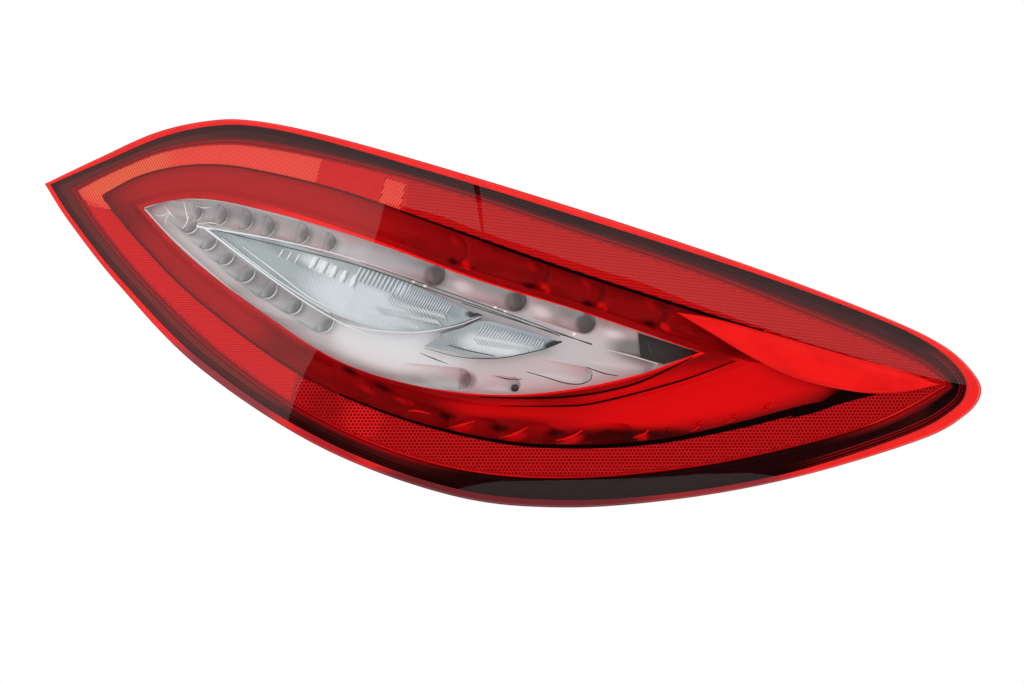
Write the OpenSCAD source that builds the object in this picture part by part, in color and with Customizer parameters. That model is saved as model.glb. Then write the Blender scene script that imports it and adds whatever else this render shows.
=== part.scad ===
// Rear lamp cluster, leaf shaped, wrapping round the corner of a car.
// X runs along the lamp, Z is up, and the lens faces -Y. The origin is where the middle
// stud's shoulder meets the car body. Millimetres.

/* [Lamp] */
// Length of the lamp
lamp_w = 602; // [580:1:625]
// Height of the lamp
lamp_h = 249; // [240:1:262]
// Distance from the mounting plane to the foremost point of the lens
lamp_front = 105; // [103:1:110]

/* [Face] */
// Radius of the face along the lamp
sweep_r = 660; // [640:5:700]
// Radius of the face across the lamp
crown_r = 350; // [330:5:380]
// Slope of the crown line, down towards the rounded end
face_tilt = 10; // [8:0.5:12]
// Share of the length at which the face is foremost
apex_share_x = 0.303; // [0.29:0.001:0.32]
// Share of the height at which the face is foremost
apex_share_z = 0.56; // [0.53:0.01:0.6]

/* [Outer lens] */
// Wall of the lens
lens_t = 3; // [2.6:0.1:3.2]
// Width of the step round the lens
rim_w = 1.6; // [1.4:0.1:1.7]
// Depth of the step round the lens
rim_drop = 1.6; // [1.2:0.1:2.2]
// Wall of the lens skirt
skirt_t = 2.2; // [2:0.1:2.3]
// Depth of the skirt's foot behind the face
skirt_foot = 20; // [19.5:0.1:21]

/* [Bezel and reflex ring] */
// Depth of the bezel's face
bezel_d = 5; // [4.6:0.1:5.4]
// Wall of the bezel
bezel_t = 2; // [1.6:0.1:2.2]
// Depth of the reflex ring's face
reflex_d = 8; // [7.7:0.1:8.3]
// Wall of the reflex ring
reflex_t = 2.6; // [2.2:0.1:2.8]
// Width of the rib round the inside of the reflex ring
reflex_rib = 2; // [1.6:0.1:2.2]

/* [Reflectors] */
// Depth of the middle reflector's deck
deck_d = 14; // [13.8:0.1:14.4]
// Wall of the reflectors
deck_t = 1.8; // [1.5:0.1:2]
// Largest radius of a bowl
bowl_r = 7.6; // [7.2:0.1:7.8]
// Width of the land between two bowls
land = 1; // [0.8:0.1:1.2]
// Length of the neck behind a bowl
neck = 1; // [0.8:0.1:1.4]
// Radius of the light hole in a bowl
light_hole_r = 2.4; // [2.2:0.1:2.6]
// Wall of the collar round the window
collar_t = 1.6; // [1.4:0.1:1.8]

/* [Clear optics] */
// Depth of the optics' face
optic_d = 7; // [6.6:0.1:7.4]
// Thickness of the optics
optic_t = 4; // [3.6:0.1:4.2]
// Distance between flutes
flute_pitch = 6; // [5:0.5:8]
// Radius of a flute
flute_r = 3.4; // [3.3:0.1:4]
// Width of the foot round an optic
foot_w = 1.6; // [1.4:0.1:2]
// Depth of the light guide blade's face
blade_d = 4; // [3.8:0.1:4.2]
// Thickness of the light guide blade
blade_t = 3.4; // [3:0.1:3.6]

/* [Boards] */
// Thickness of a circuit board
board_t = 1.2; // [1:0.1:1.3]
// Depth of the light guide's board
blade_board_d = 22; // [21.8:0.1:22.2]
// Side of a light-emitting package
led_w = 3; // [2.6:0.1:3.2]
// Height of a light-emitting package
led_h = 1.1; // [0.9:0.1:1.2]
// Thickness of the heat sink's plate
sink_t = 2; // [1.8:0.1:2.4]
// Height of the heat sink's fins
fin_h = 7; // [5:0.5:7.5]
// Thickness of a fin
fin_t = 1.4; // [1.2:0.1:1.8]
// Distance between fins
fin_pitch = 14; // [12:0.5:16]

/* [Housing] */
// Wall of the rear housing
wall = 3; // [2.6:0.1:3.2]
// Depth of the housing's floor behind the face
floor_d = 46; // [45:0.5:48]
// Distance from the flange's edge to the housing's side wall
tub_inset = 9; // [8.5:0.1:9.5]
// Thickness of the housing's flange
flange_t = 5; // [4.6:0.1:5.4]
// Thickness of the lens seal
seal_t = 2; // [1.8:0.1:2.2]
// Height of the ribs on the housing's back
rib_h = 6; // [5:0.5:7]
// Thickness of a rib
rib_t = 2.2; // [1.8:0.1:2.6]
// Distance between cross ribs
rib_pitch = 46; // [42:1:50]

/* [Driver box] */
// Length of the driver box
box_w = 104; // [98:1:108]
// Height of the driver box
box_h = 78; // [74:1:82]
// Corner radius of the driver box
box_r = 8; // [7:0.5:10]
// Wall of the driver box
box_t = 2.6; // [2.2:0.1:3]
// Distance of the driver box's rim in front of the mounting plane
box_back = 10; // [9.5:0.1:10.5]
// Width of the flange round the driver box
box_lip = 10; // [10:0.1:10.6]
// Thickness of the flange round the driver box
box_lip_t = 3; // [2.6:0.1:3.4]
// Thickness of the driver cover
cover_t = 2.6; // [2.2:0.1:3]
// Thickness of the driver board
driver_t = 1.6; // [1.4:0.1:1.8]

/* [Fixings] */
// Radius of a mounting stud's thread
stud_r = 3; // [2.9:0.05:3.1]
// Length of thread behind the mounting plane
stud_l = 26; // [20:1:32]
// Radius of a stud's shoulder
stud_collar_r = 7; // [6.5:0.1:7.5]
// Height of a stud's shoulder
stud_collar_h = 2.4; // [2:0.1:2.8]
// Length of a stud's root in its boss
stud_root = 9; // [8:0.5:11]
// Radius of a stud boss
boss_r = 13; // [12.6:0.1:13.4]
// Radius of the locating pin
pin_r = 4; // [3.8:0.1:4.2]
// Length of the locating pin behind the mounting plane
pin_l = 12; // [10:1:16]
// Radius of a small screw's shank
screw_r = 1.5; // [1.4:0.05:1.6]
// Length of a small screw's shank
screw_l = 7; // [6.6:0.1:7]
// Radius of a small screw's head
screw_head_r = 3.2; // [3:0.1:3.5]
// Height of a small screw's head
screw_head_h = 2; // [1.8:0.1:2.2]
// Radius of a post for a small screw
post_r = 4; // [3.6:0.1:4.2]
// Radius of a cover screw's shank
cover_screw_r = 2; // [1.8:0.1:2.1]
// Length of a cover screw's shank
cover_screw_l = 12; // [10:1:14]
// Clearance between pieces that fit together
gap = 0.3; // [0.2:0.05:0.35]

/* [Connector] */
// Length of the connector's shroud
plug_w = 30; // [28:1:34]
// Height of the connector's shroud
plug_h = 15; // [14:0.5:17]
// Depth of the connector's shroud
plug_l = 19; // [17:1:22]
// Wall of the connector's shroud
plug_t = 1.8; // [1.5:0.1:2]
// Side of a terminal
pin_w = 1; // [0.8:0.1:1.2]
// Radius of a lead
lead_r = 1.4; // [1:0.1:1.6]

/* [Hidden] */

face_fn = 240;
round_fn = 48;
steps = 2;

// The middle stud as shares of the length and height
origin_share = [0.463, 0.483];

// Control points of the outlines, as shares of the length and height from the lower left
flange_line = [[0, 0.833], [0.059, 0.901], [0.117, 0.964], [0.17, 0.994], [0.218, 0.997],
  [0.293, 0.963], [0.42, 0.878], [0.59, 0.752], [0.761, 0.614], [0.888, 0.498],
  [0.956, 0.421], [0.99, 0.349], [0.999, 0.292], [0.98, 0.233], [0.931, 0.171],
  [0.803, 0.079], [0.676, 0.022], [0.548, 0], [0.431, 0.032], [0.293, 0.156],
  [0.165, 0.359], [0.08, 0.57], [0.027, 0.732], [0, 0.833]];
bezel_line = [[0.0125, 0.829], [0.069, 0.89], [0.128, 0.948], [0.178, 0.976], [0.223, 0.977],
  [0.293, 0.943], [0.42, 0.858], [0.59, 0.731], [0.761, 0.593], [0.88, 0.485],
  [0.941, 0.413], [0.976, 0.344], [0.981, 0.297], [0.961, 0.259], [0.899, 0.199],
  [0.803, 0.112], [0.686, 0.053], [0.569, 0.03], [0.463, 0.048], [0.378, 0.097],
  [0.271, 0.207], [0.165, 0.385], [0.08, 0.598], [0.032, 0.753], [0.0125, 0.829]];
reflex_top = [[0.035, 0.817], [0.08, 0.871], [0.128, 0.916], [0.181, 0.934], [0.231, 0.927],
  [0.314, 0.887], [0.42, 0.82], [0.548, 0.719], [0.697, 0.601], [0.803, 0.503],
  [0.878, 0.431], [0.936, 0.367], [0.961, 0.318]];
reflex_low = [[0.961, 0.318], [0.915, 0.254], [0.867, 0.205], [0.782, 0.151], [0.686, 0.107],
  [0.569, 0.081], [0.463, 0.094], [0.367, 0.153], [0.271, 0.261], [0.186, 0.405],
  [0.112, 0.575], [0.064, 0.712], [0.035, 0.817]];
pocket_top = [[0.062, 0.802], [0.101, 0.851], [0.144, 0.876], [0.186, 0.88], [0.231, 0.864],
  [0.314, 0.815], [0.42, 0.727], [0.548, 0.618], [0.697, 0.503], [0.763, 0.454],
  [0.856, 0.39], [0.904, 0.354], [0.936, 0.32]];
pocket_low = [[0.936, 0.32], [0.888, 0.295], [0.803, 0.251], [0.739, 0.212], [0.654, 0.171],
  [0.569, 0.158], [0.484, 0.171], [0.378, 0.233], [0.271, 0.346], [0.165, 0.532],
  [0.101, 0.686], [0.062, 0.802]];
window_top = [[0.104, 0.771], [0.133, 0.789], [0.165, 0.794], [0.202, 0.782], [0.271, 0.741],
  [0.356, 0.677], [0.463, 0.583], [0.569, 0.505], [0.697, 0.4]];
window_low = [[0.697, 0.4], [0.633, 0.344], [0.559, 0.305], [0.484, 0.291], [0.399, 0.313],
  [0.314, 0.377], [0.229, 0.508], [0.154, 0.647], [0.104, 0.771]];
collar_top = [[0.095, 0.779], [0.128, 0.804], [0.165, 0.812], [0.202, 0.802], [0.271, 0.763],
  [0.356, 0.699], [0.463, 0.606], [0.569, 0.526], [0.686, 0.426], [0.75, 0.375]];
collar_low = [[0.75, 0.375], [0.686, 0.326], [0.612, 0.282], [0.527, 0.263], [0.441, 0.277],
  [0.356, 0.328], [0.293, 0.387], [0.218, 0.506], [0.144, 0.65], [0.095, 0.779]];
blade_top = [[0.671, 0.503], [0.707, 0.49], [0.763, 0.454], [0.856, 0.39], [0.91, 0.356],
  [0.954, 0.316]];
blade_low = [[0.954, 0.316], [0.915, 0.297], [0.867, 0.297], [0.803, 0.331], [0.75, 0.39],
  [0.71, 0.447], [0.671, 0.503]];
reverse_top = [[0.17, 0.719], [0.229, 0.699], [0.303, 0.647], [0.378, 0.586], [0.464, 0.493]];
reverse_low = [[0.464, 0.493], [0.42, 0.462], [0.372, 0.454], [0.319, 0.488], [0.261, 0.555],
  [0.207, 0.642], [0.17, 0.719]];
indicator_top = [[0.404, 0.416], [0.431, 0.455], [0.466, 0.48], [0.505, 0.459],
  [0.55, 0.426]];
indicator_low = [[0.55, 0.426], [0.516, 0.395], [0.473, 0.385], [0.436, 0.4],
  [0.404, 0.416]];

// Rows of bowls, each a path of shares with its number of bowls
middle_rows = [
  [[[0.205, 0.745], [0.262, 0.711], [0.318, 0.669]], 5],
  [[[0.335, 0.645], [0.445, 0.552], [0.588, 0.436]], 3],
  [[[0.176, 0.66], [0.236, 0.545], [0.312, 0.425]], 6],
  [[[0.36, 0.36], [0.462, 0.336], [0.575, 0.352]], 2]];
tail_rows = [
  [[[0.14, 0.842], [0.17, 0.846], [0.23, 0.828], [0.3, 0.782], [0.36, 0.737]], 4],
  [[[0.41, 0.698], [0.5, 0.622], [0.6, 0.546], [0.63, 0.523]], 4],
  [[[0.612, 0.228], [0.54, 0.208], [0.46, 0.218], [0.4, 0.252]], 3],
  [[[0.345, 0.3], [0.28, 0.365], [0.2, 0.512], [0.145, 0.63]], 4]];

// Places of screws and of single lamps, as shares
flange_screws = [[0.051, 0.785], [0.205, 0.902], [0.45, 0.748], [0.7, 0.551], [0.83, 0.202],
  [0.6, 0.118], [0.35, 0.215], [0.128, 0.56]];
middle_bosses = [[0.27, 0.6], [0.4, 0.48], [0.5, 0.432], [0.62, 0.4]];
tail_bosses = [[0.123, 0.68], [0.66, 0.497], [0.645, 0.226], [0.83, 0.288]];
blade_bosses = [[0.7675, 0.415], [0.8375, 0.3625]];
blade_lights = [[0.75, 0.43], [0.785, 0.4], [0.82, 0.375], [0.855, 0.35]];
stop_lights = [[0.68, 0.226], [0.72, 0.25], [0.76, 0.276], [0.8, 0.302]];

// Lugs of the heat sink, each with a point of the plate that its arm runs to
sink_lugs = [[[0.112, 0.826], [0.15, 0.76]], [[0.385, 0.718], [0.36, 0.62]],
  [[0.372, 0.276], [0.39, 0.36]], [[0.765, 0.375], [0.69, 0.38]]];

// Ends of the leads on the middle, tail and blade boards
lead_ends = [[0.335, 0.53], [0.42, 0.236], [0.803, 0.386]];
lead_bends = [[[0.3, 0.53]], [[0.33, 0.36], [0.415, 0.3]], [[0.42, 0.47], [0.6, 0.46], [0.72, 0.45]]];

// Studs, pin and vents as offsets from the middle stud
studs = [[0, 0], [-165, 40], [118, -48]];
pin_place = [-50, -70];
vents = [[46, -70], [-184, 60]];

// A smooth curve through points, with n steps between neighbours
function bend(a, b, c, d, t) = 0.5 * ((2 * b) + (c - a) * t
  + (2 * a - 5 * b + 4 * c - d) * t * t + (3 * b - a - 3 * c + d) * t * t * t);
function curve(p, n) = let (m = len(p), q = concat([2 * p[0] - p[1]], p, [2 * p[m - 1] - p[m - 2]]))
  [for (i = [1:m - 1]) for (k = [0:n - 1]) bend(q[i - 1], q[i], q[i + 1], q[i + 2], k / n)];
function place(s) = [(s[0] - origin_share[0]) * lamp_w, (s[1] - origin_share[1]) * lamp_h];
function placed(p) = [for (q = p) place(q)];
function closed(parts) = [for (p = parts) each curve(placed(p), steps)];

// Insets of an outline by a distance, outwards where it is negative
function unit(v) = v / norm(v);
function right_of(v) = [v[1], -v[0]];
function seg_dist(q, a, b) = let (t = max(0, min(1, ((q - a) * (b - a)) / ((b - a) * (b - a)))))
  norm(q - a - t * (b - a));
function line_dist(q, p) = min([for (i = [0:len(p) - 1]) seg_dist(q, p[i], p[(i + 1) % len(p)])]);
function inset(p, d) = let (n = len(p)) [for (i = [0:n - 1])
  let (b = p[i], u = right_of(unit(b - p[(i + n - 1) % n])), v = right_of(unit(p[(i + 1) % n] - b)),
    q = b + d * (u + v) / (1 + u * v)) if (line_dist(q, p) > abs(d) * 0.98) q];

// Points along a path, by length
function path_len(p, i) = i < 1 ? 0 : path_len(p, i - 1) + norm(p[i] - p[i - 1]);
function at_len(p, s, i = 1) = let (l = norm(p[i] - p[i - 1]))
  (s <= l || i >= len(p) - 1) ? p[i - 1] + (p[i] - p[i - 1]) * s / l : at_len(p, s - l, i + 1);
function path(points) = let (p = placed(points)) concat(curve(p, 6), [p[len(p) - 1]]);

// Outlines in millimetres
flange_o = closed([flange_line]);
skirt_i = inset(flange_o, rim_w + skirt_t);
bezel_o = closed([bezel_line]);
reflex_o = closed([reflex_top, reflex_low]);
pocket_o = closed([pocket_top, pocket_low]);
window_o = closed([window_top, window_low]);
collar_o = closed([collar_top, collar_low]);
blade_o = closed([blade_top, blade_low]);
reverse_o = closed([reverse_top, reverse_low]);
indicator_o = closed([indicator_top, indicator_low]);
ledge_o = inset(collar_o, 2);
board_o = inset(window_o, 2);

// Depths behind the outer surface of the lens, and a cut's reach past a face
past = 1;
tail_d = deck_d + deck_t;
plate_back = tail_d + deck_t;
neck_end = deck_d + bowl_r + deck_t + neck;
board_d = neck_end + led_h + 2 * gap;
sink_d = board_d + board_t;
sink_back = sink_d + sink_t;
floor_back = floor_d + wall;
lead_d = (sink_back + fin_h + floor_d) / 2;
lead_dip = 6;
behind = 130;
apex = place([apex_share_x, apex_share_z]);
reach = 200;
vent_cap_h = 7;
gasket_in = 4;
gasket_w = 8;

// Places along Y at the back of the lamp
boss_end = -stud_collar_h;
cover_y = cover_t - box_back;
driver_deep = 10;
driver_y = -box_back - driver_deep;
neck_r = light_hole_r + deck_t;

// The driver box stands clear above the post of the heat sink's lower lug
box_x = -88;
box_clear = 2.5;
box_place = [box_x, place(sink_lugs[2][0])[1] + post_r + box_clear + box_h / 2];
fix_post_r = 5;
fix_out = 4.6;
fix_in = 10;
fix_x = box_w / 2 + fix_out;
fix_z = box_h / 2 + fix_out;
cover_fixings = [[-fix_x, box_h / 2 - fix_in], [fix_x, box_h / 2 - fix_in],
  [-fix_x, fix_in - box_h / 2], [fix_x, fix_in - box_h / 2], [0, fix_z], [0, -fix_z]];

// The driver board, its fixings and what it carries, from the middle of the box
driver_margin = 10;
driver_w = box_w - 2 * driver_margin;
driver_h = box_h - 2 * driver_margin;
driver_fix_in = 5;
driver_fixings = [for (x = [-1, 1]) for (z = [-1, 1])
  [x * (driver_w / 2 - driver_fix_in), z * (driver_h / 2 - driver_fix_in)]];
header_in = 16;
header_pitch = 12;
header_size = [7, 8, 9];
header_places = [for (z = [1, -1, 0]) [header_in - driver_w / 2, z * header_pitch]];
capacitor_r = 5;
capacitor_h = 12;
capacitor_places = [[-6, 16], [8, 16], [22, 16]];
chip_size = [10, 2, 10];
chip_places = [[-8, 0], [30, 0]];
plug_place = [12, -10];
plug_rim = 3;
pin_out = 12;
pin_grid = [for (x = [-8, 0, 8]) for (z = [-2.5, 2.5]) plug_place + [x, z]];

// Angles of the line square to the face that passes a place at the deck's depth
function local_x(p) = cos(face_tilt) * (p[0] - apex[0]) - sin(face_tilt) * (p[1] - apex[1]);
function local_z(p) = sin(face_tilt) * (p[0] - apex[0]) + cos(face_tilt) * (p[1] - apex[1]);
function crown_angle(p) = asin(local_z(p) / (crown_r - deck_d));
function spin_r(p, d) = sweep_r - crown_r + (crown_r - d) * cos(crown_angle(p));
function sweep_angle(p) = asin(local_x(p) / spin_r(p, deck_d));

// Point of that line at another depth
function along(p, d) = let (x = spin_r(p, d) * sin(sweep_angle(p)), z = (crown_r - d) * sin(crown_angle(p)))
  [apex[0] + x * cos(face_tilt) + z * sin(face_tilt),
    sweep_r - lamp_front - spin_r(p, d) * cos(sweep_angle(p)),
    apex[1] - x * sin(face_tilt) + z * cos(face_tilt)];
function flat(q) = [q[0], q[2]];

module face_frame() {
  translate([apex[0], sweep_r - lamp_front, apex[1]]) rotate([0, face_tilt, 0]) children();
}

// Puts a child on that line at a depth, with its own -Y pointing out of the lamp
module on_face(p, d) {
  face_frame() rotate([0, 0, sweep_angle(p)]) translate([0, crown_r - sweep_r, 0])
    rotate([-crown_angle(p), 0, 0]) translate([0, d - crown_r, 0]) children();
}

// A shell that follows the face between two depths
module face_shell(d0, d1) {
  face_frame() rotate([0, 0, -90]) rotate_extrude(angle = 80, start = -28, $fn = face_fn)
    translate([sweep_r - crown_r, 0]) intersection() {
      difference() {
        circle(crown_r - d0, $fn = face_fn);
        circle(crown_r - d1, $fn = face_fn);
      }
      translate([crown_r * 0.6, -crown_r / 2]) square([crown_r, crown_r]);
    }
}

module through() {
  rotate([90, 0, 0]) linear_extrude(2 * reach, center = true) children();
}

module slab(outer, d0, d1) {
  intersection() {
    face_shell(d0, d1);
    through() polygon(outer);
  }
}

module band(outer, inner, d0, d1) {
  intersection() {
    face_shell(d0, d1);
    through() difference() {
      polygon(outer);
      polygon(inner);
    }
  }
}

module rod(r, y0, y1) {
  translate([0, y1, 0]) rotate([90, 0, 0]) cylinder(r = r, h = y1 - y0, $fn = round_fn);
}

// A long bowl lying along X, with round ends
module capsule(r, l) {
  rotate([0, 90, 0]) rotate_extrude($fn = round_fn) intersection() {
    union() {
      translate([0, -l / 2]) square([r, l]);
      for (s = [-0.5, 0.5]) translate([0, s * l]) circle(r, $fn = round_fn);
    }
    translate([0, -reach / 2]) square([r, reach]);
  }
}

// Runs a child at each bowl of a row, with its X along the row
module each_bowl(row, d) {
  p = path(row[0]);
  pitch = path_len(p, len(p) - 1) / row[1];
  for (i = [0:row[1] - 1]) {
    a = at_len(p, i * pitch);
    b = at_len(p, (i + 1) * pitch);
    turn = atan2(a[1] - b[1], b[0] - a[0]) - face_tilt;
    on_face((a + b) / 2, d) rotate([0, turn, 0]) {
      $r = min(bowl_r, (pitch - land) / 2);
      $l = pitch - land - 2 * $r;
      children();
    }
  }
}

// A round bowl about Y with a neck behind it
module round_bowl(r, neck_w, neck_to) {
  rotate([-90, 0, 0]) rotate_extrude($fn = round_fn) intersection() {
    union() {
      circle(r, $fn = round_fn);
      square([neck_w, neck_to]);
    }
    translate([0, -reach / 2]) square([r, reach]);
  }
}

module bowl(grow, neck_w, neck_to) {
  if ($l > 1) {
    capsule($r + grow, $l);
    rod(neck_w, $r / 2, neck_to);
  } else {
    round_bowl($r + grow, neck_w, neck_to);
  }
}

module cups(rows) {
  for (row = rows) each_bowl(row, deck_d) bowl(deck_t, neck_r, neck_end - deck_d);
}

module cup_hollows(rows) {
  for (row = rows) each_bowl(row, deck_d) bowl(0, light_hole_r, neck_end - deck_d + 1);
}

// Rods at places given as shares, between two depths
module pegs(places, r, d0, d1) {
  for (p = places) on_face(place(p), d0) rod(r, 0, d1 - d0);
}

module leds(rows, d) {
  for (row = rows) each_bowl(row, d) led();
}

module led() {
  translate([-led_w / 2, -led_h, -led_w / 2]) cube([led_w, led_h, led_w]);
}

// A small screw whose head rests at Y = 0 and whose shank runs along +Y
module screw() {
  rod(screw_head_r, -screw_head_h, 0);
  rod(screw_r, -0.1, screw_l);
}

// A block between two places along Y, with rounded corners
module box_block(w, h, r, y0, y1) {
  translate([box_place[0], y1, box_place[1]]) rotate([90, 0, 0]) linear_extrude(y1 - y0)
    rounded(w, h, r);
}

module rounded(w, h, r) {
  square([w - 2 * r, h], center = true);
  square([w, h - 2 * r], center = true);
  for (x = [-1, 1]) for (y = [-1, 1])
    translate([x * (w / 2 - r), y * (h / 2 - r)]) circle(r, $fn = round_fn);
}

module at_box(p) {
  translate([box_place[0] + p[0], 0, box_place[1] + p[1]]) children();
}

module at_xz(p) {
  translate([p[0], 0, p[1]]) children();
}

// A bar from a to b with a round eye at a
module arm(a, b, w) {
  n = right_of(unit(b - a)) * w / 3;
  polygon([a + n, a - n, b - n, b + n]);
  translate(a) circle(w / 2, $fn = round_fn);
}

function ring(p, t, r) = let (u = unit(cross(t, [0.2, 0.1, 1])), v = cross(u, t))
  [for (k = [0:7]) p + r * (cos(45 * k) * u + sin(45 * k) * v)];
function tangent(p, i) = unit(p[min(i + 1, len(p) - 1)] - p[max(i - 1, 0)]);

// A round lead along points
module lead(way, r) {
  p = concat(curve(way, 5), [way[len(way) - 1]]);
  n = len(p);
  polyhedron([for (i = [0:n - 1]) each ring(p[i], tangent(p, i), r)], concat(
    [[for (k = [0:7]) k], [for (k = [7:-1:0]) (n - 1) * 8 + k]],
    [for (i = [0:n - 2]) for (k = [0:7]) [i * 8 + k, i * 8 + 8 + k, i * 8 + (k + 1) % 8]],
    [for (i = [0:n - 2]) for (k = [0:7]) [i * 8 + 8 + k, i * 8 + 8 + (k + 1) % 8, i * 8 + (k + 1) % 8]]));
}

module red_lens() {
  color([0.8, 0.05, 0.07]) difference() {
    union() {
      slab(inset(flange_o, rim_w), 0, skirt_foot);
      slab(flange_o, rim_drop, rim_drop + lens_t);
    }
    slab(skirt_i, lens_t, skirt_foot + 1);
    through() polygon(window_o);
  }
}

module clear_window() {
  color([0.92, 0.94, 0.96, 0.6]) slab(window_o, 0, lens_t);
}

module bezel() {
  color([0.12, 0.06, 0.06]) difference() {
    band(bezel_o, reflex_o, bezel_d, skirt_foot);
    band(inset(bezel_o, bezel_t), inset(reflex_o, -bezel_t), bezel_d + bezel_t, skirt_foot + 1);
  }
}

module reflex_ring() {
  color([0.85, 0.1, 0.1]) difference() {
    band(inset(reflex_o, gap), pocket_o, reflex_d, tail_d);
    band(reflex_o, inset(pocket_o, -reflex_rib), reflex_d + reflex_t, tail_d + 1);
  }
}

module tail_reflector() {
  color([0.5, 0.08, 0.1]) difference() {
    union() {
      band(inset(reflex_o, 1), ledge_o, tail_d, plate_back);
      intersection() {
        face_shell(tail_d + 0.5, board_d);
        cups(tail_rows);
      }
      pegs(tail_bosses, post_r, tail_d + 0.5, board_d);
      pegs(blade_bosses, post_r, tail_d + 0.5, blade_board_d);
    }
    cup_hollows(tail_rows);
    pegs(concat(stop_lights, blade_lights), light_hole_r, deck_d, plate_back + 1);
    pegs(flange_screws, screw_r + gap, deck_d, plate_back + 1);
    pegs(tail_bosses, screw_r, sink_d - screw_l, board_d + 1);
    pegs(blade_bosses, screw_r, blade_board_d + board_t - screw_l, blade_board_d + 1);
  }
}

module window_collar() {
  color([0.75, 0.1, 0.12]) difference() {
    band(collar_o, window_o, bezel_d, deck_d);
    band(inset(collar_o, -2), inset(window_o, -collar_t), bezel_d + collar_t, deck_d + 1);
  }
}

module middle_reflector() {
  color([0.8, 0.8, 0.82]) difference() {
    union() {
      slab(collar_o, deck_d, tail_d);
      intersection() {
        face_shell(deck_d + 0.5, board_d);
        cups(middle_rows);
      }
      pegs(middle_bosses, post_r, deck_d + 0.5, board_d);
    }
    cup_hollows(middle_rows);
    pegs(middle_bosses, screw_r, sink_back - screw_l, board_d + 1);
  }
}

// A clear blade with flutes across it and a foot round its edge
module fluted(outline, flutes, from) {
  difference() {
    slab(outline, optic_d, deck_d);
    slab(inset(outline, foot_w), optic_d + optic_t, deck_d + 1);
    for (i = [0:flutes - 1])
      on_face(from + i * flute_pitch * [cos(face_tilt), -sin(face_tilt)], optic_d)
        rotate([0, 25, 0]) translate([0, -flute_r * 0.87, 0])
          cylinder(r = flute_r, h = lamp_h * 0.16, center = true, $fn = round_fn);
  }
}

module reverse_optic() {
  color([0.85, 0.88, 0.92, 0.7]) fluted(reverse_o, 18, place([0.285, 0.625]));
}

module indicator_optic() {
  color([0.85, 0.88, 0.92, 0.7]) fluted(indicator_o, 10, place([0.437, 0.44]));
}

module light_blade() {
  color([0.95, 0.08, 0.1]) {
    slab(blade_o, blade_d, blade_d + blade_t);
    pegs(blade_bosses, post_r / 2, blade_d + 1, tail_d);
  }
}

module middle_board() {
  color([0.1, 0.35, 0.2]) difference() {
    slab(board_o, board_d, sink_d);
    pegs(middle_bosses, screw_r + gap, board_d - 1, sink_d + 1);
  }
}

module middle_leds() {
  color([0.95, 0.9, 0.6]) leds(middle_rows, board_d);
}

module tail_board() {
  color([0.1, 0.35, 0.2]) difference() {
    band(inset(pocket_o, 3), inset(collar_o, -1), board_d, sink_d);
    pegs(tail_bosses, screw_r + gap, board_d - 1, sink_d + 1);
    pegs([for (l = sink_lugs) l[0]], screw_head_r + 2 * gap, board_d - 1, sink_d + 1);
    pegs([lead_ends[2]], post_r, board_d - 1, sink_d + 1);
  }
}

module tail_leds() {
  color([0.95, 0.5, 0.4]) {
    leds(tail_rows, board_d);
    for (p = stop_lights) on_face(place(p), board_d) led();
  }
}

module blade_board() {
  color([0.1, 0.35, 0.2]) difference() {
    slab(inset(blade_o, 4), blade_board_d, blade_board_d + board_t);
    pegs(blade_bosses, screw_r + gap, blade_board_d - 1, blade_board_d + 3);
  }
}

module blade_leds() {
  color([0.95, 0.5, 0.4]) for (p = blade_lights) on_face(place(p), blade_board_d) led();
}

module heat_sink() {
  lug_w = 2 * screw_head_r + 3;
  color([0.75, 0.76, 0.78]) difference() {
    union() {
      intersection() {
        face_shell(sink_d, sink_back);
        through() {
          polygon(ledge_o);
          for (l = sink_lugs) arm(flat(along(place(l[0]), sink_d)), place(l[1]), lug_w);
        }
      }
      intersection() {
        face_shell(sink_d + sink_t / 2, sink_back + fin_h);
        through() intersection() {
          polygon(inset(window_o, 5));
          for (x = [place(window_top[0])[0] + fin_pitch:fin_pitch:place(window_low[0])[0]])
            translate([x, -lamp_h]) square([fin_t, 2 * lamp_h]);
        }
      }
    }
    pegs(middle_bosses, screw_head_r + 1, sink_back, sink_back + fin_h + 2);
    pegs(middle_bosses, screw_r + gap, sink_d - 1, sink_back + 1);
    pegs([for (l = sink_lugs) l[0]], screw_r + gap, sink_d - 1, sink_back + 1);
    pegs([lead_ends[0]], post_r, sink_d - 1, sink_back + fin_h + 2);
  }
}

module lamp_screws() {
  color([0.6, 0.6, 0.62]) {
    for (p = flange_screws) on_face(place(p), tail_d) screw();
    for (l = sink_lugs) on_face(place(l[0]), sink_d) screw();
    for (p = middle_bosses) on_face(place(p), sink_back) rotate([180, 0, 0]) screw();
    for (p = tail_bosses) on_face(place(p), sink_d) rotate([180, 0, 0]) screw();
    for (p = blade_bosses) on_face(place(p), blade_board_d + board_t) rotate([180, 0, 0]) screw();
    for (p = driver_fixings) at_box(p) translate([0, driver_y, 0]) screw();
  }
}

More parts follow.
